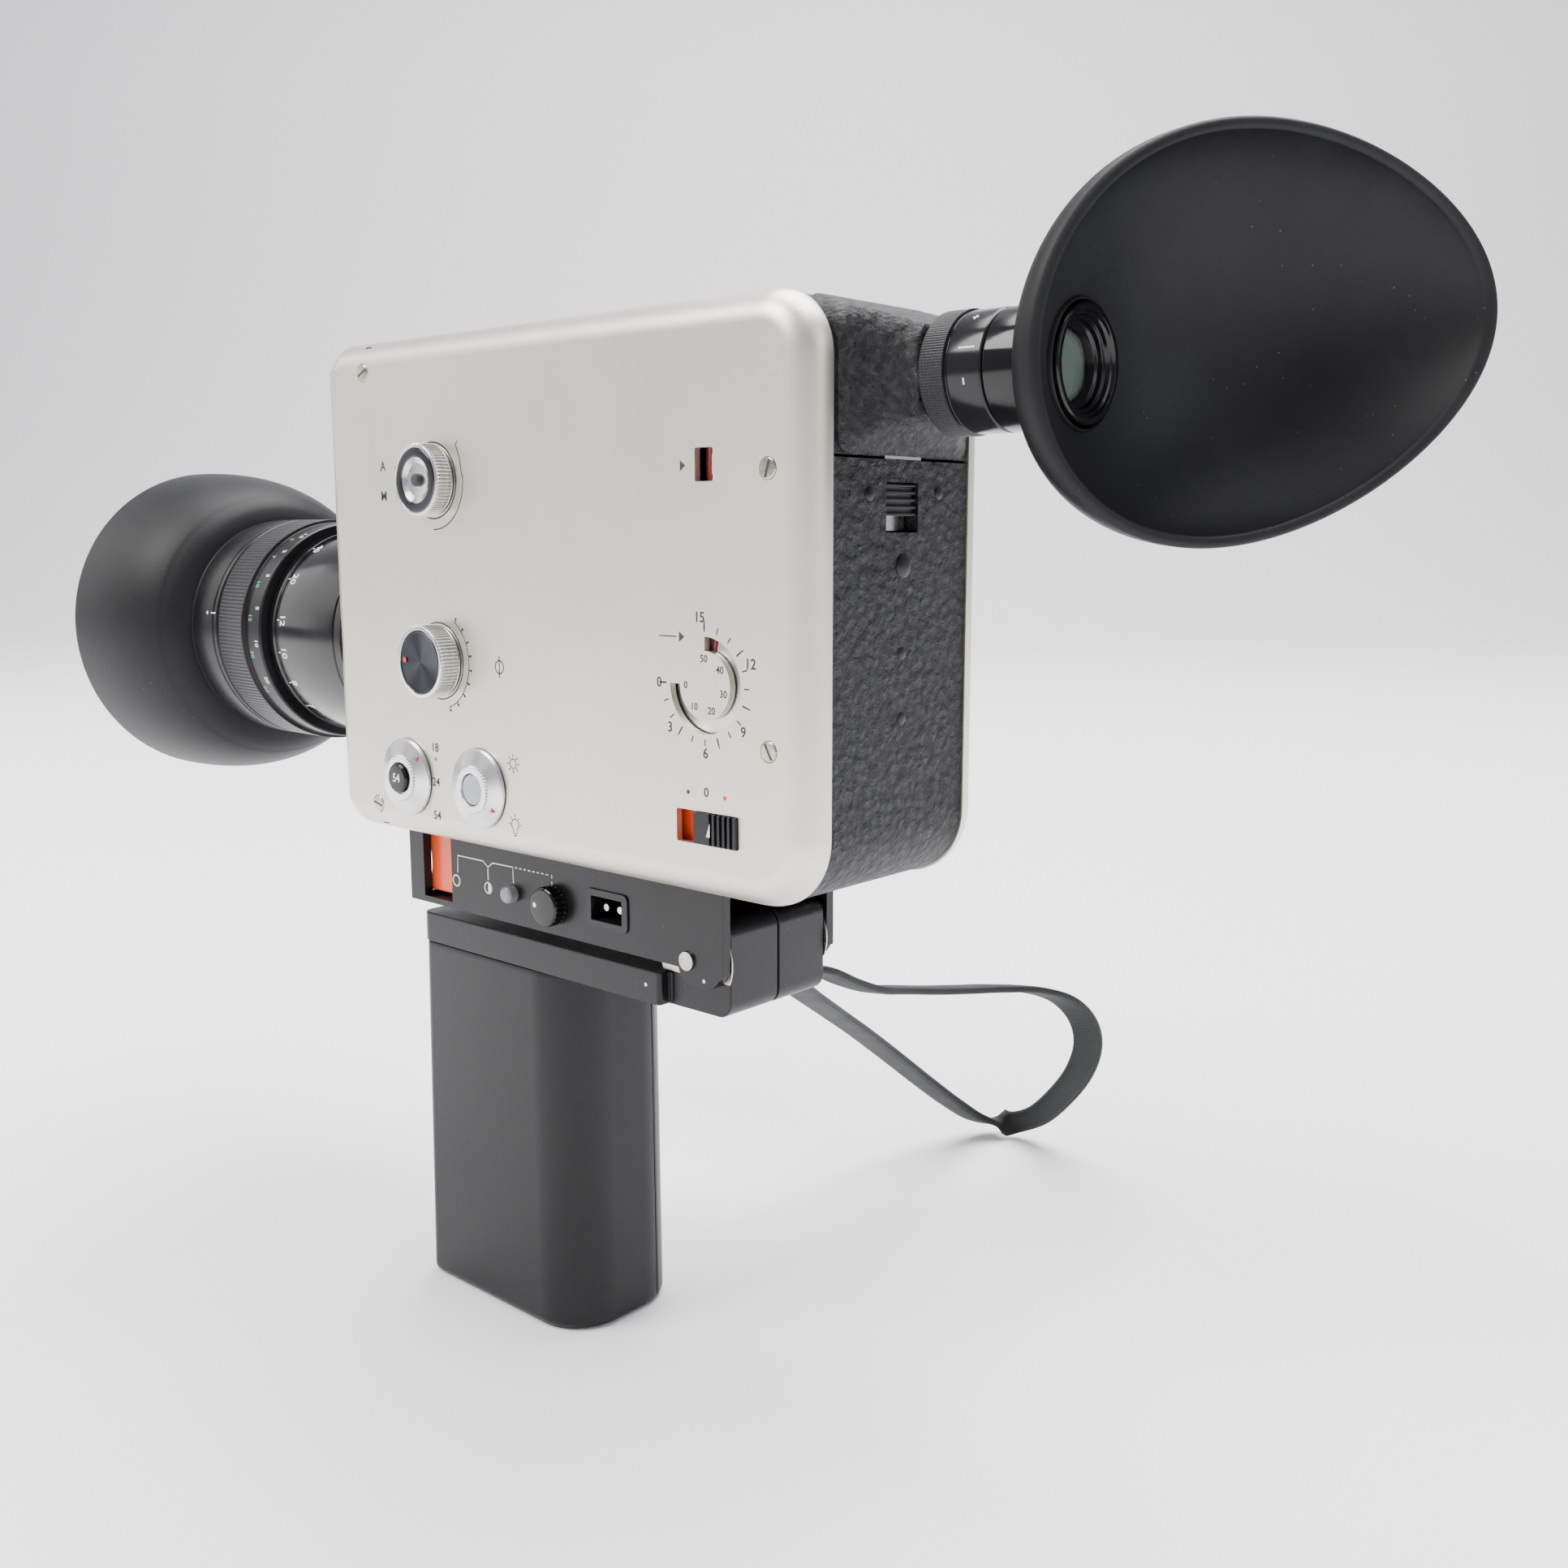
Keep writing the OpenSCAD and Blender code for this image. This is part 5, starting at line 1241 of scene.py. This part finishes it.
class CINE_OT_lens(Maker):
    """Zoom ring, focus ring, front cell, front glass and the bell-shaped rubber hood"""

    bl_idname = "cine.lens"
    bl_label = "Lens"

    def execute(self, context):
        z = LENS_Z
        zoom0, zoom1 = low("zoom_ring")[0], high("zoom_ring")[0]
        lathe("zoom_barrel", "zoom_ring", "gloss", [
            (LENS_BORE, zoom0), (25.1, zoom0), (ZOOM_R, zoom0 + 0.4), (ZOOM_R, zoom0 + 3.0),
            (25.25, zoom0 + 3.1), (25.25, zoom0 + 3.5), (ZOOM_R, zoom0 + 3.6),
            (ZOOM_R, zoom1 - 0.4), (25.1, zoom1), (LENS_BORE, zoom1)],
            ("x", z), edge=0.12, ring=True)
        focus0, focus1 = low("focus_ring")[0], high("focus_ring")[0]
        lathe("focus_barrel", "focus_ring", "focus", [
            (LENS_BORE, focus0), (28.1, focus0), (FOCUS_R, focus0 + 0.4), (FOCUS_R, focus0 + 11.8),
            (27.7, focus0 + 12.0), (SCALE_R, focus0 + 12.2), (SCALE_R, focus1 - 0.5),
            (27.2, focus1), (LENS_BORE, focus1)], ("x", z), edge=0.12, ring=True)
        cell0, cell1 = low("front_cell")[0], focus0 - 0.4
        hood_end = high("lens_hood")[0] - 0.3
        lathe("front_barrel", "front_cell", "satin", [
            (22.9, cell1), (28.1, cell1), (FOCUS_R, cell1 - 0.4), (FOCUS_R, cell1 - 1.6),
            (28.2, cell1 - 1.7), (28.2, cell1 - 2.1), (FOCUS_R, cell1 - 2.2),
            (FOCUS_R, hood_end + 0.4), (28.1, hood_end), (26.46, hood_end), (26.46, cell0),
            (25.2, cell0), (25.0, cell0 + 0.5), (24.4, cell0 + 0.6), (24.3, cell0 + 1.2),
            (24.0, cell0 + 1.3), (23.9, cell0 + 6.0), (22.9, cell0 + 6.2)],
            ("x", z), edge=0.12, ring=True)
        # front glass: a dome behind the cell's baffles
        g0, g1 = low("front_lens")[0] + 0.6, high("front_lens")[0]
        r = 24.0
        t = np.linspace(0, 1, 22)
        curve = (r * r + 3.4**2) / (2 * 3.4)
        dome = np.stack([r * t, g0 + curve - np.sqrt(curve**2 - (r * t) ** 2)], -1)
        lathe("front_glass", "front_lens", "lens", np.concatenate([dome, [(r, g1), (0, g1)]]),
              ("x", z), edge=0.0)
        self.hood()
        self.scales(focus0, focus1, zoom0)
        return {"FINISHED"}

    def hood(self):
        """Bell: the radius grows as the sine of the square root of the way to the mouth. A rolled
        lip closes it."""
        x1, x0 = high("lens_hood")[0], low("lens_hood")[0]
        root, mouth, wall = 28.3, high("lens_hood")[2] - LENS_Z, 1.7
        t = np.linspace(0, 1, 46)
        start = x1 - 1.4
        x = start - t * (start - x0 - 0.7)
        r = root + (mouth - root) * np.sin(math.pi / 2 * np.sqrt(t))
        rib = 0.28 * (np.exp(-((x - (x1 - 3.0)) / 0.35) ** 2)
                      + np.exp(-((x - (x1 - 4.6)) / 0.35) ** 2))
        outer = np.stack([r - rib, x], -1)
        inner = np.stack([r[4:] - wall, x[4:]], -1)[::-1]
        turn = np.linspace(0, math.pi, 10)[1:-1]
        lip_r = mouth - wall / 2 + (wall / 2) * np.cos(turn)
        lip = np.stack([lip_r, x[-1] - 0.75 * np.sin(turn)], -1)
        collar = [(26.5, x1), (root - 0.3, x1), (root, x1 - 0.4)]
        step = [(27.9, x1 - 7.6), (26.5, x1 - 7.7)]
        profile = np.concatenate([collar, outer, lip, inner, step])
        lathe("hood_bell", "lens_hood", "rubber", profile, ("x", LENS_Z), edge=0.0, ring=True,
              segments=192)

    def scales(self, focus0, focus1, zoom0):
        """Generic distance and zoom numbers with their index lines."""
        arc = lambda r, degrees: math.radians(degrees) * r
        zoom = Marks("zoom_scale", "zoom_ring", "white", on_ring(ZOOM_R, LENS_Z))
        for words, degrees in (("60", 80), ("40", 56), ("20", 33), ("12", 9), ("10", -9),
                               ("8", -27), ("7", -44)):
            up = arc(ZOOM_R, degrees)
            zoom.text(words, (zoom0 + 6.3, up), 3.0, -90)
            zoom.line([(zoom0 + 3.9, up), (zoom0 + 4.9, up)], 0.25)
        zoom.done()
        focus = Marks("focus_scale", "focus_ring", "white", on_ring(SCALE_R, LENS_Z))
        feet = Marks("focus_scale_feet", "focus_ring", "green", on_ring(SCALE_R, LENS_Z))
        for words, degrees in (("1.5", 62), ("2", 48), ("3", 32), ("5", 14), ("10", -4),
                               ("20", -24)):
            focus.text(words, (focus1 - 1.9, arc(SCALE_R, degrees)), 2.0, -90)
        for words, degrees in (("5", 58), ("7", 44), ("10", 27), ("15", 9), ("30", -10),
                               ("60", -30)):
            feet.text(words, (focus1 - 4.6, arc(SCALE_R, degrees)), 2.0, -90)
        focus.done()
        feet.done()
        index = Marks("lens_index", "front_cell", "white", on_ring(FOCUS_R, LENS_Z))
        index.line([(focus0 - 3.4, arc(FOCUS_R, 10)), (focus0 - 1.2, arc(FOCUS_R, 10))], 0.35)
        index.dot((focus0 - 5.2, arc(FOCUS_R, 10)), 0.45)
        index.done()


class CINE_OT_knobs(Maker):
    """Two knobs with knurled rims, and two turned dials with their centres"""

    bl_idname = "cine.knobs"
    bl_label = "Knobs and dials"

    def execute(self, context):
        self.aperture()
        self.shutter()
        self.dials()
        return {"FINISHED"}

    def aperture(self):
        """Knurled rim, a ring that dips to its centre, and the pin."""
        about = side_knob("aperture_turn")
        lathe("aperture_rim", "aperture_knob", "polished", [
            (0, 0.25), (7.3, 0.25), (7.3, 0.7), (7.72, 0.8), (7.72, 4.0), (7.3, 4.5), (6.75, 4.55),
            (6.7, 3.9), (0, 3.9)],
            about, edge=0.1, flutes=(60, 0.5, 7.5), segments=480)
        t = np.linspace(0, 1, 10)
        dish = np.stack([4.7 - 3.3 * t, 4.42 - 0.95 * t - 0.2 * np.sin(t * math.pi)], -1)
        lathe("aperture_dish", "aperture_cap", "aperture_face", np.concatenate([
            [(0, 3.2), (6.68, 3.2), (6.68, 4.5), (6.5, 4.68), (4.95, 4.68), (4.8, 4.5)], dish,
            [(0, 3.4)]]), about, edge=0.06)
        lathe("aperture_pin", "aperture_cap", "ink",
              [(0, 3.2), (1.35, 3.2), (1.35, 4.5), (1.0, 4.95), (0, 4.95)],
              about, False, 0.1, segments=40)

    def shutter(self):
        """Knurled rim with a shallow dish and its red spot."""
        about = side_knob("shutter_knob_turn")
        lathe("shutter_rim", "shutter_knob", "polished", [
            (0, 0.25), (7.6, 0.25), (7.6, 0.8), (8.0, 0.9), (8.0, 4.8), (7.6, 5.3), (6.9, 5.35),
            (6.8, 4.7), (0, 4.7)],
            about, edge=0.1, flutes=(62, 0.52, 7.8), segments=496)
        t = np.linspace(0, 1, 12)
        dish = np.stack([6.5 * (1 - t), 5.25 - 0.3 * np.sin(t * math.pi / 2)], -1)
        lathe("shutter_dish", "shutter_knob_cap", "shutter_face", np.concatenate([
            [(0, 4.0), (6.78, 4.0), (6.78, 5.3), (6.6, 5.42)], dish]), about, edge=0.05)
        spot = Marks("shutter_spot", "shutter_knob_cap", "red", on_side(PLATE_Y - 5.3, 0.05))
        spot.dot((about[1] - 5.2, about[2] + 0.3), 0.62)
        spot.done()

    def dials(self):
        """Two cones with knurled centres, their button and pad, and a red mark each."""
        for dial, joint, face in (("speed_dial", "speed_turn", "speed_face"),
                                  ("filter_dial", "filter_turn", "filter_face")):
            about = side_knob(joint)
            lathe(dial + "_cone", dial, face, [
                (0, 0.5), (3.45, 0.5), (3.5, 2.1), (3.7, 2.3), (4.7, 2.3), (4.9, 2.1), (5.3, 1.95),
                (8.3, 1.0), (8.68, 0.8),
                (8.7, 0.25), (0, 0.25)][::-1], about, edge=0.08)
            lathe(dial + "_knurl", dial, "polished", [
                (3.5, 1.0), (5.25, 1.0), (5.25, 2.25), (4.9, 2.5), (3.6, 2.5), (3.5, 2.3)], about,
                  False, 0.05,
                True, (44, 0.3, 5.0), 352)
        about = side_knob("speed_turn")
        lathe("speed_button", "slow_motion_button", "gloss", [
            (0, 1.8), (3.32, 1.8), (3.32, 3.0), (3.0, 3.3), (0, 3.3)], about, edge=0.15,
              segments=72)
        words = Marks("speed_button_number", "slow_motion_button", "white", on_side(PLATE_Y - 3.3))
        words.text("54", (about[1], about[2]), 2.7)
        words.done()
        about = side_knob("filter_turn")
        lathe("filter_centre", "filter_pad", "grey",
              [(0, 0.5), (3.36, 0.5), (3.36, 2.0), (3.1, 2.2), (0, 2.25)],
              about, edge=0.1, segments=72)
        for node, joint, turn in (("speed_dial", "speed_turn", 42),
                                  ("filter_dial", "filter_turn", -35)):
            x, z = axis_xz(joint)
            a = math.radians(turn)
            c = np.array([x + 7.0 * math.cos(a), z + 7.0 * math.sin(a)])
            tip = np.radians(turn + np.array([0, 130, 230]))
            mark = Marks(node + "_mark", node, "red", on_side(PLATE_Y - 1.45, 0.1))
            mark.shape(c + 0.85 * np.stack([np.cos(tip), np.sin(tip)], -1))
            mark.done()


class CINE_OT_counter(Maker):
    """Film counter disc, film-run window and the main switch"""

    bl_idname = "cine.counter"
    bl_label = "Counter, window and switch"

    def execute(self, context):
        x, z = axis_xz("counter_turn")
        lathe("counter_plate", "counter_disc", "counter_floor",
              [(0, -4.6), (1.5, -4.6), (1.5, -2.6), (9.9, -2.6), (9.9, -1.8), (0, -1.8)],
              ("y", x, z, PLATE_Y), edge=0.1, segments=120)
        dark = Marks("counter_pointer", "counter_disc", "ink", on_side(PLATE_Y + 1.8, 0.04))
        a = np.radians(np.linspace(77, 94, 10))
        ray = np.stack([np.cos(a), np.sin(a)], -1)
        dark.shape(np.concatenate([(x, z) + 9.6 * ray, ((x, z) + 6.0 * ray)[::-1]]))
        dark.done()
        red = Marks("counter_line", "counter_disc", "red", on_side(PLATE_Y + 1.8, 0.07))
        red.spokes((x, z), 5.8, 9.7, 82.0, 0.45)
        red.done()
        settle_node("run_drum", "drum")
        wx, wz = axis_xz("run_spin")
        front = low("run_drum")[1]
        flag = Marks("run_mark", "run_drum", "white", on_side(front, 0.05))
        flag.line([(wx + 0.5, wz - 1.6), (wx + 0.5, wz + 1.8)], 0.35)
        flag.line([(wx + 0.5, wz + 1.6), (wx + 1.5, wz + 1.6)], 0.35)
        flag.line([(wx + 0.5, wz + 0.2), (wx + 1.4, wz + 0.2)], 0.35)
        flag.done()
        settle_node("switch_bed", "orange")
        soften("main_switch", "satin", 0.12)
        lo, hi = low("main_switch"), high("main_switch")
        mark = Marks("switch_mark", "main_switch", "white", on_side(lo[1], 0.03))
        cx = (lo[0] + hi[0]) / 2 - 1.6
        mark.shape([(cx - 0.4, (lo[2] + hi[2]) / 2 - 1.4), (cx + 0.5, (lo[2] + hi[2]) / 2 - 1.4),
                    (cx + 0.5, (lo[2] + hi[2]) / 2 + 1.3)])
        mark.done()
        return {"FINISHED"}


class CINE_OT_print(Maker):
    """Printed scales, numbers and symbols on the left cover"""

    bl_idname = "cine.print"
    bl_label = "Printed marks"

    def execute(self, context):
        ink = Marks("cover_print", "left_cover", "ink", on_side(PLATE_Y, 0.025))
        red = Marks("cover_print_red", "left_cover", "red", on_side(PLATE_Y, 0.03))
        ax, az = axis_xz("aperture_turn")
        ink.circle((ax, az), 8.0, 0.35)
        ink.arc((ax, az), 10.3, -92, 5, 0.26)
        ink.line([(7.7, az + 0.8), (7.1, az + 4.4), (5.9, az + 7.3), (6.7, az + 8.0)], 0.26)
        ink.text("A", (-20.3, 194.4), 2.9)
        ink.text("M", (-20.3, 188.0), 2.9)
        red.shape([(-16.0, 194.3), (-14.6, 194.3), (-15.3, 192.9)])
        sx, sz = axis_xz("shutter_knob_turn")
        ink.circle((sx, sz), 8.3, 0.3)
        ink.arc((sx, sz), 10.3, -72, 56, 0.22)
        ink.spokes((sx, sz), 10.2, 11.3, np.linspace(-72, 56, 9), 0.3)
        for a in np.radians(np.linspace(-72, 56, 9)):
            ink.dot((sx + 11.1 * math.cos(a), sz + 11.1 * math.sin(a)), 0.27)
        ink.circle((18.3, 152.5), 1.35, 0.28)
        ink.line([(18.3, 150.2), (18.3, 154.8)], 0.28)
        for words, z in (("18", 133.4), ("24", 125.7), ("54", 118.2)):
            ink.text(words, (-5.0, z), 2.7)
        red.dot((-4.9, 130.9), 0.42)
        # sun: ring with rays; bulb: ring, neck and base
        ink.circle((21.9, 132.5), 1.0, 0.22)
        ink.spokes((21.9, 132.5), 1.35, 2.0, np.arange(0, 360, 45), 0.24)
        ink.arc((22.0, 119.6), 1.15, -55, 235, 0.22)
        ink.line([(21.4, 118.6), (21.4, 117.7), (22.6, 117.7), (22.6, 118.6)], 0.2)
        ink.line([(21.5, 117.2), (22.5, 117.2)], 0.2)
        ink.spokes((22.0, 119.6), 1.6, 2.1, (0, 45, 90, 135, 180), 0.2)
        # film counter
        cx, cz = axis_xz("counter_turn")
        ink.spokes((cx, cz), 9.9, 11.2, 90 - np.arange(0, 271, 18.0), 0.26)
        ink.spokes((cx, cz), 9.9, 11.9, 90 - np.arange(0, 271, 54.0), 0.26)
        for words, x, z in (("15", 76.6, 164.9), ("12", 89.2, 157.0), ("9", 87.4, 144.6),
                            ("6", 77.9, 139.9), ("3", 68.7, 144.1), ("0", 65.9, 152.4)):
            ink.text(words, (x, z), 2.7)
        for k, words in enumerate(("50", "40", "30", "20", "10", "0")):
            a = math.radians(92 - 54 * k)
            ink.text(words, (cx + 4.9 * math.cos(a), cz + 4.9 * math.sin(a)), 1.9)
        ink.shape([(71.3, 162.2), (71.3, 160.2), (72.7, 161.2)])
        ink.line([(66.0, 161.2), (70.6, 161.2)], 0.24)
        ink.shape([(72.0, 193.2), (72.0, 191.2), (73.4, 192.2)])
        # main switch
        ink.dot((73.3, 132.3), 0.42)
        ink.text("0", (78.0, 132.6), 2.5)
        red.dot((82.7, 132.1), 0.42)
        ink.done()
        red.done()
        return {"FINISHED"}


class CINE_OT_bracket(Maker):
    """Bracket with its trigger, buttons, socket, white switch diagram and hinge pin"""

    bl_idname = "cine.bracket"
    bl_label = "Bracket"

    def execute(self, context):
        soften("bottom_bracket", "enamel", 0.3)
        soften("trigger", "orange", 0.45)
        soften("power_socket", "satin", 0.2)
        settle_node("power_pins", "steel")
        settle_node("tripod_bush", "brass")
        settle_node("hinge_pin", "nickel")
        y = BRACKET_Y
        for name, node, r, rise, finish in (
            ("lock_stub", "lock_button", 1.9, 2.4, "button"),
            ("remote_cap", "remote_knob", 4.4, 3.2, "gloss"),
        ):
            lo, hi = low(node), high(node)
            x, z = (lo[0] + hi[0]) / 2, (lo[2] + hi[2]) / 2
            profile = [(0, -1.5), (min(r, 2.0), -1.5), (min(r, 2.0), 0.15), (r, 0.2),
                       (r, rise - 0.5), (r - 0.5, rise), (0, rise)]
            lathe(name, node, finish, profile, ("y", x, z, y), edge=0.25,
                  flutes=(24, 0.35, 4.3) if r > 4 else None, segments=240)
        kx, kz = axis_xz("remote_turn")
        dot = Marks("remote_dot", "remote_knob", "white", on_side(y - 3.2))
        dot.dot((kx - 2.6, kz + 0.2), 0.55)
        dot.done()
        m = Marks("bracket_print", "bottom_bracket", "white", on_side(y))
        m.circle((-11.7, 100.9), 1.25, 0.32)
        m.circle((0.0, 100.9), 1.25, 0.28)
        half = disc((0.0, 100.9), 1.25, 40)
        m.shape(np.concatenate([half[30:], half[:11]]))
        m.line([(-11.1, 102.9), (-10.9, 106.9), (-1.6, 106.9), (0.1, 105.7), (1.8, 106.9),
                (8.9, 107.0), (9.0, 103.4)], 0.26)
        m.line([(0.05, 105.4), (0.05, 102.7)], 0.26)
        for x in np.arange(9.6, 21.4, 1.5):
            m.line([(x, 107.0), (x + 0.8, 107.0)], 0.24)
        for z in np.arange(103.6, 107.0, 1.4):
            m.line([(22.1, z), (22.1, z + 0.75)], 0.24)
        m.dot((67.7, 92.3), 0.4)
        m.done()
        for node in ("hinge_block_left", "hinge_block_right"):
            soften(node, "enamel", 0.45)
        return {"FINISHED"}


class CINE_OT_grip(Maker):
    """Grip with its side cover, and the plate on top"""

    bl_idname = "cine.grip"
    bl_label = "Grip"

    def execute(self, context):
        soften("grip_plate", "enamel", 0.35)
        mark = Marks("plate_dot", "grip_plate", "white", on_side(low("grip_plate")[1]))
        mark.dot((51.0, 88.4), 0.4)
        mark.done()
        seam = high("grip_shell")[1]
        self.half("grip_body", "grip_shell", -40.0, seam)
        self.half("grip_side", "grip_cover", seam + 0.3, 40.0)
        return {"FINISHED"}

    def half(self, name, node, y0, y1):
        """Upright loft of a rounded rectangle that tapers a little towards the top and is
        rounded at its base by a quarter circle, cut along the seam."""
        lo, hi = GRIP
        top = hi[2]
        foot = 2.2
        bend = np.linspace(0, math.pi / 2, 8)
        side, lid = np.linspace(3.5, top - 1.5, 24), [top - 0.5, top - 0.12, top]
        rise = np.concatenate([foot * (1 - np.cos(bend)), side, lid])
        inset = np.concatenate([foot * (1 - np.sin(bend)), 0 * side, [0.0, 0.12, 0.5]])
        rings = []
        for z, d in zip(rise, inset):
            k = z / top
            loop, _ = outline(lo[0] + 1.9 * k, lo[1] + 0.2, hi[0] - 0.7 * k, hi[1] - 0.2,
                              (3.2, 12.5, 12.5, 3.2), d, 16)
            rings.append(np.concatenate([loop, np.full((len(loop), 1), z)], 1))
        rings = np.array(rings)
        n = rings.shape[1]
        base, crown = (rings[k].mean(0) + 0 * rings[[k]] for k in (0, -1))
        rows = np.concatenate([base, rings, crown])
        obj = piece(name, node, "grip", rows, quads(len(rows), n), sharp=50.0)
        a, b = np.array([lo[0] - 5, y0, lo[2] - 5]), np.array([hi[0] + 5, y1, hi[2] + 5])
        cut(obj, [box_cutter(a, b)], "INTERSECT")
        edge = obj.modifiers.new("edge", "BEVEL")
        edge.width, edge.segments = 0.25 * MM, 2
        edge.limit_method, edge.angle_limit = "ANGLE", math.radians(60)
        bake(obj)
        return settle(obj, node, "grip", sharp=50.0)


class CINE_OT_mechanism(Maker):
    """Finishes of the pieces inside: gate, shutter, motor, gears, glass and cells"""

    bl_idname = "cine.mechanism"
    bl_label = "Mechanism"

    def execute(self, context):
        for finish, nodes in {
            "steel": ("gate_plate", "door_hinge_pin", "drive_motor", "pulldown_claw"),
            "brass": ("motor_pinion", "shutter_shaft"),
            "satin": ("finder_tube", "lens_barrel", "iris_vane", "shutter_disc", "takeup_spindle",
                      "battery_holder",
                      "variator_cell", "compensator_cell"),
            "prism": ("beam_prism", "relay_lens"),
            "mirror": ("finder_mirror",),
            "cell": ("battery_cells",),
        }.items():
            for node in nodes:
                settle_node(node, finish)
        return {"FINISHED"}


class CINE_PT_panel(bpy.types.Panel):
    """Lists the operators that build the camera"""

    bl_idname = "CINE_PT_panel"
    bl_label = "Cine Camera"
    bl_space_type = "VIEW_3D"
    bl_region_type = "UI"
    bl_category = "Cine Camera"

    def draw(self, context):
        for maker in MAKERS:
            self.layout.operator(maker.bl_idname)
        for group in (context.scene.cine_sizes, context.scene.cine_colours):
            box = self.layout.box()
            for key in group.__annotations__:
                box.prop(group, key)


MAKERS = (
    CINE_OT_stage, CINE_OT_strap, CINE_OT_covers, CINE_OT_body, CINE_OT_finder, CINE_OT_lens,
    CINE_OT_knobs,
    CINE_OT_counter, CINE_OT_print, CINE_OT_bracket, CINE_OT_grip, CINE_OT_mechanism,
)
GROUPS = (CameraSizes, CameraColours)


def register():
    for kind in (*GROUPS, *MAKERS, CINE_PT_panel):
        bpy.utils.register_class(kind)
    bpy.types.Scene.cine_sizes = PointerProperty(type=CameraSizes)
    bpy.types.Scene.cine_colours = PointerProperty(type=CameraColours)


def unregister():
    del bpy.types.Scene.cine_sizes, bpy.types.Scene.cine_colours
    for kind in (CINE_PT_panel, *reversed(MAKERS), *GROUPS):
        bpy.utils.unregister_class(kind)


def main():
    register()
    for maker in MAKERS:
        getattr(bpy.ops.cine, maker.bl_idname.split(".")[1])()


if __name__ == "__main__":
    main()
